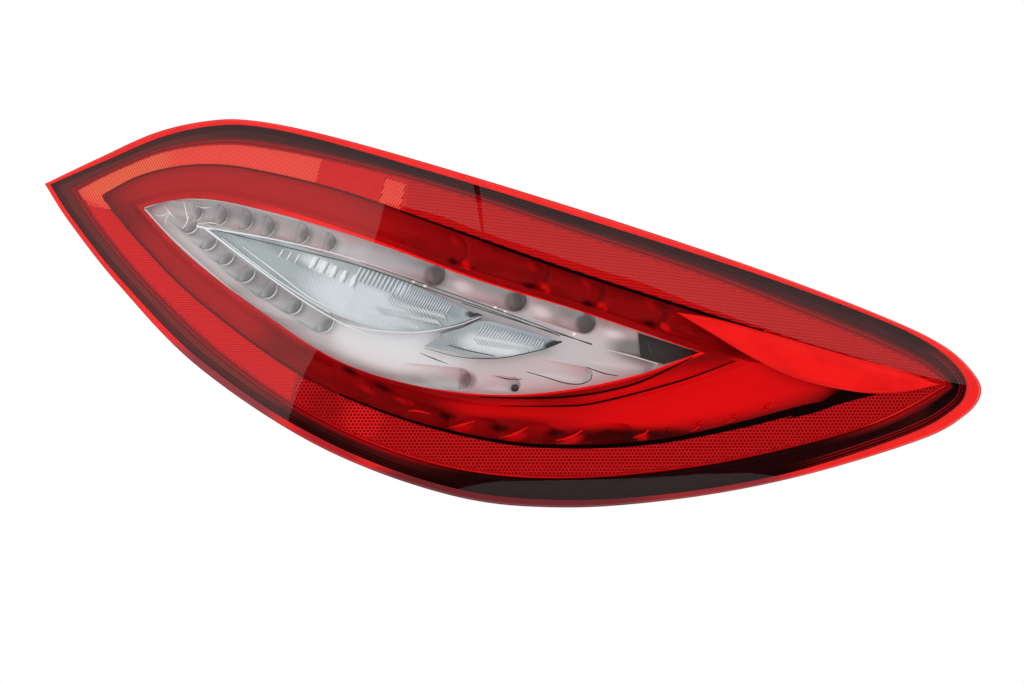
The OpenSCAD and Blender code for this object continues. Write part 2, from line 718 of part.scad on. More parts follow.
module rear_housing() {
  ribs = inset(flange_o, tub_inset + 4);
  color([0.13, 0.13, 0.14]) difference() {
    union() {
      slab(inset(flange_o, 0.5), skirt_foot, skirt_foot + flange_t);
      slab(inset(flange_o, tub_inset), skirt_foot + 1, floor_back);
      intersection() {
        face_shell(floor_back - 1, floor_back + rib_h);
        through() difference() {
          intersection() {
            polygon(ribs);
            for (i = [0:10]) translate([i * rib_pitch - 0.42 * lamp_w, -lamp_h])
              square([rib_t, 2 * lamp_h]);
          }
          translate(box_place) square([box_w + 1, box_h + 1], center = true);
        }
      }
      intersection() {
        face_shell(floor_d + 1, behind);
        union() {
          box_block(box_w, box_h, box_r, -reach, -box_back);
          for (p = studs) at_xz(p) rod(boss_r, -reach, boss_end);
          at_xz(pin_place) rod(2 * pin_r, -reach, boss_end);
        }
      }
      box_block(box_w + 2 * box_lip, box_h + 2 * box_lip, box_r + box_lip,
        -box_back - box_lip_t, -box_back);
      for (p = cover_fixings) at_box(p)
        rod(fix_post_r, -box_back - cover_screw_l - cover_screw_r, -box_back - past);
      at_xz(pin_place) rod(pin_r, boss_end - 2, pin_l);
      for (p = vents) on_face(p, floor_d + 1) rod(post_r, 0, wall + vent_cap_h / 2);
    }
    difference() {
      slab(inset(flange_o, tub_inset + wall), skirt_foot - 1, floor_d);
      pegs(flange_screws, post_r, plate_back, floor_d + 1);
      pegs([for (l = sink_lugs) l[0]], post_r, sink_back, floor_d + 1);
    }
    band(inset(flange_o, rim_w - 0.1), inset(flange_o, rim_w + skirt_t + 0.1),
      skirt_foot - 1, skirt_foot + seal_t);
    box_block(box_w - 2 * box_t, box_h - 2 * box_t, box_r - box_t, -reach / 2, 0);
    seal_groove(0.1, -box_back - seal_t + 0.5, 0);
    for (p = cover_fixings) at_box(p) rod(cover_screw_r, cover_y - cover_screw_l, 0);
    for (p = studs) at_xz(p) rod(boss_r + gap, boss_end, behind);
    for (p = studs) at_xz(p) rod(boss_r - wall, -reach / 2, boss_end - stud_root - wall);
    at_xz(pin_place) rod(2 * pin_r - wall, -reach / 2, boss_end - 5);
    for (p = studs) at_xz(p) rod(stud_r + 1, boss_end - stud_root, 0);
    for (p = vents) on_face(p, floor_d - 1) rod(post_r / 2, 0, wall + vent_cap_h);
    pegs(flange_screws, screw_r, plate_back - 1, tail_d + screw_l);
    pegs([for (l = sink_lugs) l[0]], screw_r, sink_back - 1, sink_d + screw_l);
  }
}

module lens_seal() {
  color([0.2, 0.2, 0.2]) band(inset(flange_o, rim_w), inset(flange_o, rim_w + skirt_t),
    skirt_foot, skirt_foot + seal_t);
}

// The ring of the cover's seal, wider on each side by grow
module seal_groove(grow, y0, y1) {
  difference() {
    box_block(box_w + 3 + 2 * grow, box_h + 3 + 2 * grow, box_r + 1.5 + grow, y0, y1);
    box_block(box_w - 1 - 2 * grow, box_h - 1 - 2 * grow, box_r - 0.5 - grow, y0 - 1, y1 + 1);
  }
}

module driver_board() {
  color([0.1, 0.35, 0.2]) difference() {
    box_block(driver_w, driver_h, box_r / 4, driver_y, driver_y + driver_t);
    for (p = driver_fixings) at_box(p) rod(screw_r + gap, driver_y - 1, driver_y + 3);
    for (p = pin_grid) at_box(p) pin_block(pin_w + 0.1, driver_y - 1, driver_y + 3);
  }
}

module driver_capacitors() {
  color([0.2, 0.22, 0.3]) for (p = capacitor_places)
    at_box(p) rod(capacitor_r, driver_y - capacitor_h, driver_y);
}

module driver_chips() {
  color([0.08, 0.08, 0.08]) for (p = chip_places) at_box(p)
    translate([-chip_size[0] / 2, driver_y - chip_size[1], -chip_size[2] / 2]) cube(chip_size);
}

module lead_headers() {
  color([0.9, 0.88, 0.8]) for (p = header_places) at_box(p)
    translate([-header_size[0] / 2, driver_y - header_size[1], -header_size[2] / 2]) cube(header_size);
}

module driver_cover() {
  color([0.16, 0.16, 0.17]) difference() {
    union() {
      box_block(box_w + 2 * box_lip, box_h + 2 * box_lip, box_r + box_lip, -box_back, cover_y);
      for (p = driver_fixings) at_box(p) rod(post_r, driver_y + driver_t, -box_back + 1);
    }
    for (p = cover_fixings) at_box(p) rod(cover_screw_r + gap, -box_back - 1, cover_y + 1);
    for (p = driver_fixings) at_box(p) rod(screw_r, driver_y, driver_y + screw_l);
    at_box(plug_place) plug_block(plug_t + gap, -box_back - 1, cover_y + 1);
  }
}

module plug_block(grow, y0, y1) {
  translate([-plug_w / 2 - grow, y0, -plug_h / 2 - grow])
    cube([plug_w + 2 * grow, y1 - y0, plug_h + 2 * grow]);
}

module pin_block(w, y0, y1) {
  translate([-w / 2, y0, -w / 2]) cube([w, y1 - y0, w]);
}

module cover_seal() {
  color([0.25, 0.25, 0.25]) seal_groove(0, -box_back - seal_t + 0.5, -box_back);
}

module cover_screws() {
  color([0.6, 0.6, 0.62]) for (p = cover_fixings) at_box(p) {
    rod(1.9 * cover_screw_r, cover_y, cover_y + 1.3 * cover_screw_r);
    rod(cover_screw_r, cover_y - cover_screw_l, cover_y + 0.1);
  }
}

module connector_socket() {
  color([0.1, 0.1, 0.1]) difference() {
    union() {
      at_box(plug_place) plug_block(plug_t, driver_y + driver_t, cover_y + plug_l);
      at_box(plug_place) plug_block(plug_t + plug_rim, -box_back - 2, -box_back);
    }
    at_box(plug_place) plug_block(0, cover_y + 3, cover_y + plug_l + 1);
    for (p = pin_grid) at_box(p) pin_block(pin_w + 0.1, driver_y, cover_y + 4);
  }
}

module terminals() {
  color([0.8, 0.7, 0.4]) for (p = pin_grid) at_box(p)
    pin_block(pin_w, driver_y - 1.5, cover_y + pin_out);
}

module inner_leads() {
  color([0.7, 0.1, 0.1]) for (i = [0:2]) {
    h = box_place + header_places[i];
    start = driver_y - header_size[1] - gap;
    e = place(lead_ends[i]);
    back = (i == 2 ? blade_board_d + board_t : sink_d) + gap;
    lead(concat([[h[0], start, h[1]], [h[0], start - lead_dip, h[1]], along(h + [2, 0], lead_d)],
      [for (q = lead_bends[i]) along(place(q), lead_d)],
      [along(e, lead_d - lead_dip / 2), along(e, lead_d - 8), along(e, back)]), lead_r);
  }
}

module mounting_studs() {
  color([0.7, 0.7, 0.72]) for (p = studs) at_xz(p) {
    rod(stud_r + 1, boss_end - stud_root, boss_end + 0.1);
    rod(stud_collar_r, boss_end, 0);
    rod(stud_r, -0.1, stud_l);
  }
}

module stud_seals() {
  color([0.22, 0.22, 0.22]) for (p = studs) at_xz(p) difference() {
    rod(boss_r - 0.5, boss_end, 0);
    rod(stud_collar_r + gap, boss_end - 1, 1);
  }
}

module body_gasket() {
  color([0.22, 0.22, 0.22]) difference() {
    box_block(box_w - 2 * gasket_in, box_h - 2 * gasket_in, box_r, cover_y, 0);
    box_block(box_w - 2 * (gasket_in + gasket_w), box_h - 2 * (gasket_in + gasket_w), box_r, cover_y - 1, 1);
  }
}

module vent_caps() {
  color([0.2, 0.2, 0.2]) for (p = vents) on_face(p, floor_back) difference() {
    rod(2 * post_r, 1, 1 + vent_cap_h);
    rod(post_r, 0, vent_cap_h - 2);
  }
}

red_lens();
clear_window();
bezel();
reflex_ring();
tail_reflector();
window_collar();
middle_reflector();
reverse_optic();
indicator_optic();
light_blade();
middle_board();
middle_leds();
tail_board();
tail_leds();
blade_board();
blade_leds();
heat_sink();
lamp_screws();
rear_housing();
lens_seal();
driver_board();
driver_capacitors();
driver_chips();
lead_headers();
driver_cover();
cover_seal();
cover_screws();
connector_socket();
terminals();
inner_leads();
mounting_studs();
stud_seals();
body_gasket();
vent_caps();
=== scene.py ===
"""Looks of the rear lamp cluster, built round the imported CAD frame. Metres, camera along +Y."""
import math

import bpy
import numpy as np
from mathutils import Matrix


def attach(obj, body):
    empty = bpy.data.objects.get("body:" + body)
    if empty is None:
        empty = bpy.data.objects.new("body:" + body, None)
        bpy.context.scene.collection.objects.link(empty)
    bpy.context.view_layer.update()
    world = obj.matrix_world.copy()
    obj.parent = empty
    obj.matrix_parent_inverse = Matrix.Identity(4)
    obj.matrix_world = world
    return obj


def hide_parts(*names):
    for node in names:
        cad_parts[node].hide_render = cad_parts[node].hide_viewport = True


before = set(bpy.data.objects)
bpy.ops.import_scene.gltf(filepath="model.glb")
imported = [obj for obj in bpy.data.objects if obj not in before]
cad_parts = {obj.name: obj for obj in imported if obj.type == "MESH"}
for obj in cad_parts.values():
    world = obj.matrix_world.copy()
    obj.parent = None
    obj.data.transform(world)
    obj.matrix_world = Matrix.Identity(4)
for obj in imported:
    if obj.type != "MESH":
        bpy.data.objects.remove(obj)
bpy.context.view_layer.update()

# Sizes shared with the CAD, in metres, and depths behind the outer surface of the lens
LAMP_W, LAMP_H, LAMP_FRONT = 0.602, 0.249, 0.105
SWEEP_R, CROWN_R, TILT = 0.660, 0.350, math.radians(10)
ORIGIN = (0.463, 0.483)
APEX = ((0.303 - ORIGIN[0]) * LAMP_W, (0.56 - ORIGIN[1]) * LAMP_H)
MM = 0.001
# The drawing grid: the length of a step, and the place of the origin in steps
GRID = 0.64 * MM
GRID_X, GRID_Z = 480, 320
# Depths in millimetres behind the outer surface of the lens
LENS_D, BEZEL_D, RIB_D, RING_D, DECK_D, BACK_D = 0.02, 5.02, 8.5, 13.2, 13.9, 14
# Points to a stretch of an outline and of a fine line, and columns and rows of the meshes
OUTLINE_STEPS, LINE_STEPS = 16, 8
N = 260
LENS_ROWS = 36
PANE_COLS, PANE_ROWS = 120, 24
RING_COLS, RING_ROWS = 620, 30
SILVER_COLS, SILVER_ROWS = 560, 130
DOME_SIDES, DOME_RINGS = 10, 4
PANE_IOR, NOISE_SCALE = 1.49, 300

# Control points of the outlines as shares of the lamp's length and height, left tip to right
# tip along the top and back along the bottom
FLANGE_TOP = [(0, 0.833), (0.059, 0.901), (0.117, 0.964), (0.17, 0.994), (0.218, 0.997),
              (0.293, 0.963), (0.42, 0.878), (0.59, 0.752), (0.761, 0.614), (0.888, 0.498),
              (0.956, 0.421), (0.99, 0.349), (0.999, 0.292)]
FLANGE_LOW = [(0.999, 0.292), (0.98, 0.233), (0.931, 0.171), (0.803, 0.079), (0.676, 0.022),
              (0.548, 0), (0.431, 0.032), (0.293, 0.156), (0.165, 0.359), (0.08, 0.57),
              (0.027, 0.732), (0, 0.833)]
BEZEL_TOP = [(0.0125, 0.829), (0.069, 0.89), (0.128, 0.948), (0.178, 0.976), (0.223, 0.977),
             (0.293, 0.943), (0.42, 0.858), (0.59, 0.731), (0.761, 0.593), (0.88, 0.485),
             (0.941, 0.413), (0.976, 0.344), (0.981, 0.297)]
BEZEL_LOW = [(0.981, 0.297), (0.961, 0.259), (0.899, 0.199), (0.803, 0.112), (0.686, 0.053),
             (0.569, 0.03), (0.463, 0.048), (0.378, 0.097), (0.271, 0.207), (0.165, 0.385),
             (0.08, 0.598), (0.032, 0.753), (0.0125, 0.829)]
REFLEX_TOP = [(0.035, 0.817), (0.08, 0.871), (0.128, 0.916), (0.181, 0.934), (0.231, 0.927),
              (0.314, 0.887), (0.42, 0.82), (0.548, 0.719), (0.697, 0.601), (0.803, 0.503),
              (0.878, 0.431), (0.936, 0.367), (0.961, 0.318)]
REFLEX_LOW = [(0.961, 0.318), (0.915, 0.254), (0.867, 0.205), (0.782, 0.151), (0.686, 0.107),
              (0.569, 0.081), (0.463, 0.094), (0.367, 0.153), (0.271, 0.261), (0.186, 0.405),
              (0.112, 0.575), (0.064, 0.712), (0.035, 0.817)]
POCKET_TOP = [(0.062, 0.802), (0.101, 0.851), (0.144, 0.876), (0.186, 0.88), (0.231, 0.864),
              (0.314, 0.815), (0.42, 0.727), (0.548, 0.618), (0.697, 0.503), (0.763, 0.454),
              (0.856, 0.39), (0.904, 0.354), (0.936, 0.32)]
POCKET_LOW = [(0.936, 0.32), (0.888, 0.295), (0.803, 0.251), (0.739, 0.212), (0.654, 0.171),
              (0.569, 0.158), (0.484, 0.171), (0.378, 0.233), (0.271, 0.346), (0.165, 0.532),
              (0.101, 0.686), (0.062, 0.802)]
WINDOW_TOP = [(0.104, 0.771), (0.133, 0.789), (0.165, 0.794), (0.202, 0.782), (0.271, 0.741),
              (0.356, 0.677), (0.463, 0.583), (0.569, 0.505), (0.697, 0.4)]
WINDOW_LOW = [(0.697, 0.4), (0.633, 0.344), (0.559, 0.305), (0.484, 0.291), (0.399, 0.313),
              (0.314, 0.377), (0.229, 0.508), (0.154, 0.647), (0.104, 0.771)]
COLLAR_TOP = [(0.095, 0.779), (0.128, 0.804), (0.165, 0.812), (0.202, 0.802), (0.271, 0.763),
              (0.356, 0.699), (0.463, 0.606), (0.569, 0.526), (0.686, 0.426), (0.75, 0.375)]
COLLAR_LOW = [(0.75, 0.375), (0.686, 0.326), (0.612, 0.282), (0.527, 0.263), (0.441, 0.277),
              (0.356, 0.328), (0.293, 0.387), (0.218, 0.506), (0.144, 0.65), (0.095, 0.779)]
BLADE_TOP = [(0.671, 0.503), (0.707, 0.49), (0.763, 0.454), (0.856, 0.39), (0.91, 0.356),
             (0.954, 0.316)]
BLADE_LOW = [(0.954, 0.316), (0.915, 0.297), (0.867, 0.297), (0.803, 0.331), (0.75, 0.39),
             (0.71, 0.447), (0.671, 0.503)]
REVERSE_TOP = [(0.17, 0.719), (0.229, 0.699), (0.303, 0.647), (0.378, 0.586), (0.464, 0.493)]
REVERSE_LOW = [(0.464, 0.493), (0.42, 0.462), (0.372, 0.454), (0.319, 0.488), (0.261, 0.555),
               (0.207, 0.642), (0.17, 0.719)]
INDICATOR_TOP = [(0.404, 0.416), (0.431, 0.455), (0.466, 0.48), (0.505, 0.459), (0.55, 0.426)]
INDICATOR_LOW = [(0.55, 0.426), (0.516, 0.395), (0.473, 0.385), (0.436, 0.4), (0.404, 0.416)]


def place(points):
    p = np.array(points, float)
    return (p - ORIGIN) * (LAMP_W, LAMP_H)


def smooth(p, steps):
    """A smooth curve through points given in metres, with steps to each stretch."""
    q = np.vstack([2 * p[0] - p[1], p, 2 * p[-1] - p[-2]])
    out = []
    for i in range(1, len(p)):
        a, b, c, d = q[i - 1:i + 3]
        for t in np.arange(steps) / steps:
            out.append(0.5 * (2 * b + (c - a) * t + (2 * a - 5 * b + 4 * c - d) * t ** 2
                              + (3 * b - a - 3 * c + d) * t ** 3))
    return np.array(out + [p[-1]])


def bend(points):
    """A smooth curve through the control points of an outline."""
    return smooth(place(points), OUTLINE_STEPS)


def even(p, n):
    """n + 1 points spread evenly by length along p."""
    s = np.concatenate([[0], np.cumsum(np.hypot(*np.diff(p, axis=0).T))])
    u = np.linspace(0, s[-1], n + 1)
    return np.stack([np.interp(u, s, p[:, 0]), np.interp(u, s, p[:, 1])], 1)


def side(points, n):
    return even(bend(points), n)


def loop(top, low, n):
    """A closed outline with n points on each of its two stretches, tips matched."""
    return np.vstack([side(top, n)[:-1], side(low, n)[:-1]])


def round_loop(top, low, n):
    """As loop, but the outline runs smoothly round its right end."""
    whole, tip = bend(top + low[1:]), OUTLINE_STEPS * (len(top) - 1)
    return np.vstack([even(whole[:tip + 1], n)[:-1], even(whole[tip:], n)[:-1]])


def inset(p, d):
    """The outline moved inwards by d; it runs clockwise seen from the front."""
    t = np.roll(p, -1, 0) - np.roll(p, 1, 0)
    t /= np.hypot(*t.T)[:, None] + 1e-12
    return p + d * np.stack([t[:, 1], -t[:, 0]], 1)


def toward(a, b, d):
    """Each point of a moved towards its partner in b by d, one value or one for each point."""
    gap = b - a
    far = np.hypot(*gap.T)[:, None]
    return a + gap * np.minimum(1, np.reshape(d, (-1, 1)) / np.maximum(far, 1e-6))


def inner(a, b, d):
    """Outline a moved inwards by d: towards b at the left, square to a at the right."""
    right = np.clip((a[:, :1] - 0.05) / 0.15, 0, 1)
    return toward(a, b, d) * (1 - right) + inset(a, d) * right


def at(*points):
    """Points on the drawing's grid of 0.64 mm, counted from its upper left corner, in metres."""
    p = np.array(points, float)
    return np.stack([(p[..., 0] - GRID_X) * GRID, (GRID_Z - p[..., 1]) * GRID], -1)


def face_y(p, d):
    """Y of the layer at depth d, in metres, behind the outer surface."""
    x, z = p[..., 0] - APEX[0], p[..., 1] - APEX[1]
    u = math.cos(TILT) * x - math.sin(TILT) * z
    w = math.sin(TILT) * x + math.cos(TILT) * z
    spin = SWEEP_R - CROWN_R + np.sqrt((CROWN_R - d) ** 2 - w ** 2)
    return SWEEP_R - LAMP_FRONT - np.sqrt(spin ** 2 - u ** 2)


def lift(p, d):
    return np.stack([p[..., 0], face_y(p, d), p[..., 1]], -1)


def mesh_object(name, verts, faces, mats, slots=None, shade=True):
    """A mesh in the scene whose faces look out of the lamp."""
    mesh = bpy.data.meshes.new(name)
    mesh.from_pydata([tuple(v) for v in verts], [], faces)
    for m in mats:
        mesh.materials.append(m)
    if slots is not None:
        mesh.polygons.foreach_set("material_index", slots)
    mesh.polygons.foreach_set("use_smooth", [shade] * len(mesh.polygons))
    mesh.update()
    normals, areas = np.zeros(len(mesh.polygons) * 3), np.zeros(len(mesh.polygons))
    mesh.polygons.foreach_get("normal", normals)
    mesh.polygons.foreach_get("area", areas)
    if normals[1::3] @ areas > 0:
        mesh.flip_normals()
    obj = bpy.data.objects.new(name, mesh)
    bpy.context.scene.collection.objects.link(obj)
    return obj


def loft(name, loops, mats, row_slots=None):
    """Quads between closed loops of the same number of points."""
    n = len(loops[0])
    verts = np.vstack(loops)
    faces, slots = [], []
    for r in range(len(loops) - 1):
        for k in range(n):
            m = (k + 1) % n
            faces.append((r * n + k, r * n + m, (r + 1) * n + m, (r + 1) * n + k))
            slots.append(row_slots[r] if row_slots else 0)
    return mesh_object(name, verts, faces, mats, slots)


def leaf_grid(top, low, n, rows):
    """Points (rows + 1, n + 1) across a leaf, from its top edge to its bottom edge."""
    a, b = side(top, n), side(low, n)[::-1]
    t = np.linspace(0, 1, rows + 1)[:, None, None]
    return a[None] * (1 - t) + b[None] * t


def grid_object(name, pts, mats):
    r, c = pts.shape[:2]
    faces = [(i * c + k, i * c + k + 1, (i + 1) * c + k + 1, (i + 1) * c + k)
             for i in range(r - 1) for k in range(c - 1)]
    return mesh_object(name, pts.reshape(-1, 3), faces, mats)


def inside(p, poly):
    """Which points lie inside a polygon."""
    x, z = p[:, 0], p[:, 1]
    hit = np.zeros(len(p), bool)
    for a, b in zip(poly, np.roll(poly, -1, 0)):
        cross = (a[1] > z) != (b[1] > z)
        with np.errstate(divide="ignore", invalid="ignore"):
            hit ^= cross & (x < (b[0] - a[0]) * (z - a[1]) / (b[1] - a[1]) + a[0])
    return hit


def ribbons(name, strips, depth, mat):
    """Ribbons along curves on the face; a strip is its points and its widths in grid steps."""
    drop = 0.25 * MM
    verts, faces = [], []
    for points, widths in strips:
        c = points if isinstance(points, np.ndarray) else smooth(at(*points), LINE_STEPS)
        w = np.interp(np.linspace(0, 1, len(c)), np.linspace(0, 1, len(widths)), widths)
        w = w[:, None] * GRID / 2
        t = np.gradient(c, axis=0)
        t /= np.hypot(*t.T)[:, None]
        side_v = np.stack([t[:, 1], -t[:, 0]], 1)
        base, n = len(verts), len(c)
        verts += list(lift(c + side_v * w, depth + drop)) + list(lift(c, depth))
        verts += list(lift(c - side_v * w, depth + drop))
        for row in range(2):
            for k in range(n - 1):
                a = base + row * n + k
                faces.append((a, a + 1, a + n + 1, a + n))
    obj = mesh_object(name, verts, faces, [mat])
    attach(obj, "root")


def new(nt, kind):
    return nt.nodes.new("ShaderNode" + kind)


def blob(nt, centre, radii, turn=0.0):
    """1 at a place of the front view, falling to 0 at the rim of an ellipse."""
    c = at(centre)[0]
    co = new(nt, "TexCoord")
    mp = new(nt, "Mapping")
    mp.vector_type = "TEXTURE"
    mp.inputs["Location"].default_value = (c[0], 0, c[1])
    mp.inputs["Rotation"].default_value = (0, math.radians(turn), 0)
    mp.inputs["Scale"].default_value = (radii[0] * GRID, 1000, radii[1] * GRID)
    gr = new(nt, "TexGradient")
    gr.gradient_type = "SPHERICAL"
    nt.links.new(co.outputs["Object"], mp.inputs["Vector"])
    nt.links.new(mp.outputs["Vector"], gr.inputs["Vector"])
    return gr.outputs["Fac"]


def start_from(nt, socket, target):
    """Feeds target with what socket holds now."""
    if socket.is_linked:
        nt.links.new(socket.links[0].from_socket, target)
    else:
        target.default_value = socket.default_value


def mottle(m, color, scale, low=0.4, high=0.65, stretch=1.0, turn=0.0):
    """Mixes a second colour in by noise, drawn out along a heading below +X."""
    nt = m.node_tree
    b = nt.nodes["Principled BSDF"]
    co = new(nt, "TexCoord")
    mp = new(nt, "Mapping")
    mp.vector_type = "TEXTURE"
    mp.inputs["Rotation"].default_value = (0, math.radians(turn), 0)
    mp.inputs["Scale"].default_value = (stretch, 1, 1)
    tx = new(nt, "TexNoise")
    tx.inputs["Scale"].default_value = scale
    mr = new(nt, "MapRange")
    mr.interpolation_type = "SMOOTHSTEP"
    mr.inputs["From Min"].default_value = low
    mr.inputs["From Max"].default_value = high
    mx = new(nt, "Mix")
    mx.data_type = "RGBA"
    nt.links.new(co.outputs["Object"], mp.inputs["Vector"])
    nt.links.new(mp.outputs["Vector"], tx.inputs["Vector"])
    nt.links.new(tx.outputs["Fac"], mr.inputs["Value"])
    nt.links.new(mr.outputs["Result"], mx.inputs["Factor"])
    start_from(nt, b.inputs["Base Color"], mx.inputs[6])
    mx.inputs[7].default_value = (*color, 1)
    nt.links.new(mx.outputs[2], b.inputs["Base Color"])


def tint_places(m, places, socket="Base Color"):
    """Mixes other colours in at blobs: (centre, radii, turn, colour, sharpness)."""
    nt = m.node_tree
    b = nt.nodes["Principled BSDF"]
    last = None
    for centre, radii, turn, color, sharp in places:
        fac = blob(nt, centre, radii, turn)
        mr = new(nt, "MapRange")
        mr.interpolation_type = "SMOOTHSTEP"
        mr.inputs["From Max"].default_value = 1.0 - sharp
        nt.links.new(fac, mr.inputs["Value"])
        mx = new(nt, "Mix")
        mx.data_type = "RGBA"
        nt.links.new(mr.outputs["Result"], mx.inputs["Factor"])
        if last is None:
            start_from(nt, b.inputs[socket], mx.inputs[6])
        else:
            nt.links.new(last, mx.inputs[6])
        mx.inputs[7].default_value = (*color, 1)
        last = mx.outputs[2]
    nt.links.new(last, b.inputs[socket])


def material(name, color, rough=0.3, metal=0.0, spec=0.5, emit=None, noise=0.0):
    m = bpy.data.materials.new(name)
    m.use_nodes = True
    b = m.node_tree.nodes["Principled BSDF"]
    b.inputs["Base Color"].default_value = (*color, 1)
    b.inputs["Roughness"].default_value = rough
    b.inputs["Metallic"].default_value = metal
    b.inputs["Specular IOR Level"].default_value = spec
    if emit:
        b.inputs["Emission Color"].default_value = (*emit[0], 1)
        b.inputs["Emission Strength"].default_value = emit[1]
    if noise:
        nt = m.node_tree
        co = new(nt, "TexCoord")
        tx = new(nt, "TexNoise")
        tx.inputs["Scale"].default_value = NOISE_SCALE
        mp = new(nt, "MapRange")
        mp.inputs["To Min"].default_value = max(0.0, rough - noise)
        mp.inputs["To Max"].default_value = min(1.0, rough + noise)
        nt.links.new(co.outputs["Object"], tx.inputs["Vector"])
        nt.links.new(tx.outputs["Fac"], mp.inputs["Value"])
        nt.links.new(mp.outputs["Result"], b.inputs["Roughness"])
    return m


def pane(name, tint):
    """A thin clear wall: tinted see-through with a glossy skin."""
    m = bpy.data.materials.new(name)
    m.use_nodes = True
    nt = m.node_tree
    nt.nodes.clear()
    out = new(nt, "OutputMaterial")
    mix = new(nt, "MixShader")
    clear = new(nt, "BsdfTransparent")
    clear.inputs["Color"].default_value = (*tint, 1)
    gloss = new(nt, "BsdfGlossy")
    gloss.inputs["Color"].default_value = (1, 1, 1, 1)
    gloss.inputs["Roughness"].default_value = 0.0
    fres = new(nt, "Fresnel")
    fres.inputs["IOR"].default_value = PANE_IOR
    geo = new(nt, "NewGeometry")
    front = new(nt, "Math")
    front.operation = "SUBTRACT"
    front.inputs[0].default_value = 1.0
    skin = new(nt, "Math")
    skin.operation = "MULTIPLY"
    nt.links.new(geo.outputs["Backfacing"], front.inputs[1])
    nt.links.new(fres.outputs["Fac"], skin.inputs[0])
    nt.links.new(front.outputs[0], skin.inputs[1])
    nt.links.new(skin.outputs[0], mix.inputs["Fac"])
    nt.links.new(clear.outputs["BSDF"], mix.inputs[1])
    nt.links.new(gloss.outputs["BSDF"], mix.inputs[2])
    nt.links.new(mix.outputs["Shader"], out.inputs["Surface"])
    return m


M_PANE = pane("lens_pane", (1.0, 0.62, 0.6))
M_CLEAR = pane("window_pane", (0.97, 0.98, 0.98))
M_EDGE = material("lens_edge", (1.0, 0.018, 0.014), 0.2, spec=0.2)
M_LIP = material("lens_lip", (0.72, 0.02, 0.02), 0.25, spec=0.2)
M_SKIRT = material("lens_skirt", (0.85, 0.025, 0.022), 0.3, spec=0.2)
M_BEZEL = material("bezel_dark", (0.075, 0.012, 0.012), 0.35, spec=0.1)
M_BEZEL_LINE = material("bezel_line", (0.02, 0.003, 0.004), 0.3, spec=0.1)
M_BEZEL_SIDE = material("bezel_side", (0.14, 0.006, 0.01), 0.3, spec=0.1)
M_BEZEL_FOOT = material("bezel_foot", (0.32, 0.004, 0.008), 0.3, spec=0.1)
M_REFLEX = material("reflex_red", (0.5, 0.004, 0.008), 0.3, spec=0.1)
M_LEDGE = material("reflex_ledge", (0.45, 0.004, 0.008), 0.3, spec=0.1)
M_PRISM = material("reflex_prism", (0.6, 0.02, 0.03), 0.25, spec=0.2)
M_HOLE_SHADE = material("reflex_hole_painted_shade", (0.31, 0.001, 0.004), 0.3, spec=0.1)
M_RING = material("ring_red", (0.34, 0.002, 0.006), 0.3, spec=0.1)
M_COLLAR = material("collar_red", (0.55, 0.004, 0.008), 0.2, spec=0.1)
M_CHROME = material("silvered", (0.68, 0.675, 0.685), 0.3, metal=0.12)
M_OPTIC = material("optic_clear", (0.44, 0.49, 0.5), 0.12, spec=0.5)
M_GUIDE = material("guide_red", (1.0, 0.03, 0.03), 0.15, spec=0.2)
M_LED = material("package_white", (0.95, 0.95, 0.92), 0.3, emit=((1, 1, 1), 0.2))
M_SHADOW = material("seam_shadow", (0.13, 0.002, 0.004), 0.4, spec=0.1)
M_SHADE_BLACK = material("gap_painted_shade", (0.004, 0.001, 0.001), 0.4, spec=0.1)
M_FACET_HIGHLIGHT = material("facet_painted_highlight", (0.85, 0.008, 0.012), 0.2, spec=0.2)
M_PAINTED_HIGHLIGHT = material("optic_painted_highlight", (0.88, 0.9, 0.92), 0.2)
M_PAINTED_LIGHT = material("pale_painted_light", (0.8, 0.83, 0.87), 0.2)
M_PAINTED_SHADE_GREY = material("flute_painted_shade", (0.36, 0.39, 0.42), 0.2)
M_DARK = material("deck_shade", (0.05, 0.055, 0.055), 0.2)
mottle(M_RING, (0.27, 0.002, 0.004), 90, 0.42, 0.62, 2.5, 15)
mottle(M_CHROME, (0.54, 0.525, 0.535), 110, 0.42, 0.66, 5, 16)
mottle(M_OPTIC, (0.34, 0.38, 0.39), 160, 0.42, 0.66, 6, 30)
mottle(M_GUIDE, (0.85, 0.02, 0.022), 60, 0.4, 0.7, 4, 14)
mottle(M_EDGE, (0.85, 0.014, 0.012), 45, 0.4, 0.7)
mottle(M_BEZEL, (0.05, 0.009, 0.009), 40, 0.35, 0.65, 3, 18)
mottle(M_REFLEX, (0.4, 0.003, 0.006), 200, 0.4, 0.6)
mottle(M_COLLAR, (0.46, 0.003, 0.006), 120, 0.4, 0.6)
# Painted shade: the lens rim, lip and skirt darker along the bottom.
EDGE_PAINTED_SHADE = [
    ((470, 506), (340, 50), 0, (0.18, 0.018, 0.022), 0.6),
    ((225, 388), (85, 34), 37, (0.32, 0.04, 0.05), 0.5),
    ((325, 450), (60, 26), 26, (0.5, 0.012, 0.016), 0.4),
    ((720, 494), (110, 26), -9, (0.34, 0.022, 0.026), 0.4)]
tint_places(M_EDGE, EDGE_PAINTED_SHADE)
tint_places(M_LIP, EDGE_PAINTED_SHADE)
tint_places(M_SKIRT, EDGE_PAINTED_SHADE)
# Painted light and shade on the bezel: a painted haze of reflected light over the left end, and
# painted shade along the bottom and at the right tip.
tint_places(M_BEZEL, [
    ((110, 230), (170, 170), 0, (0.14, 0.026, 0.022), 0.5),
    ((195, 345), (150, 60), 45, (0.2, 0.03, 0.024), 0.5),
    ((700, 505), (440, 100), -5, (0.018, 0.002, 0.003), 0.7),
    ((965, 410), (70, 34), -50, (0.01, 0.001, 0.002), 0.7)])
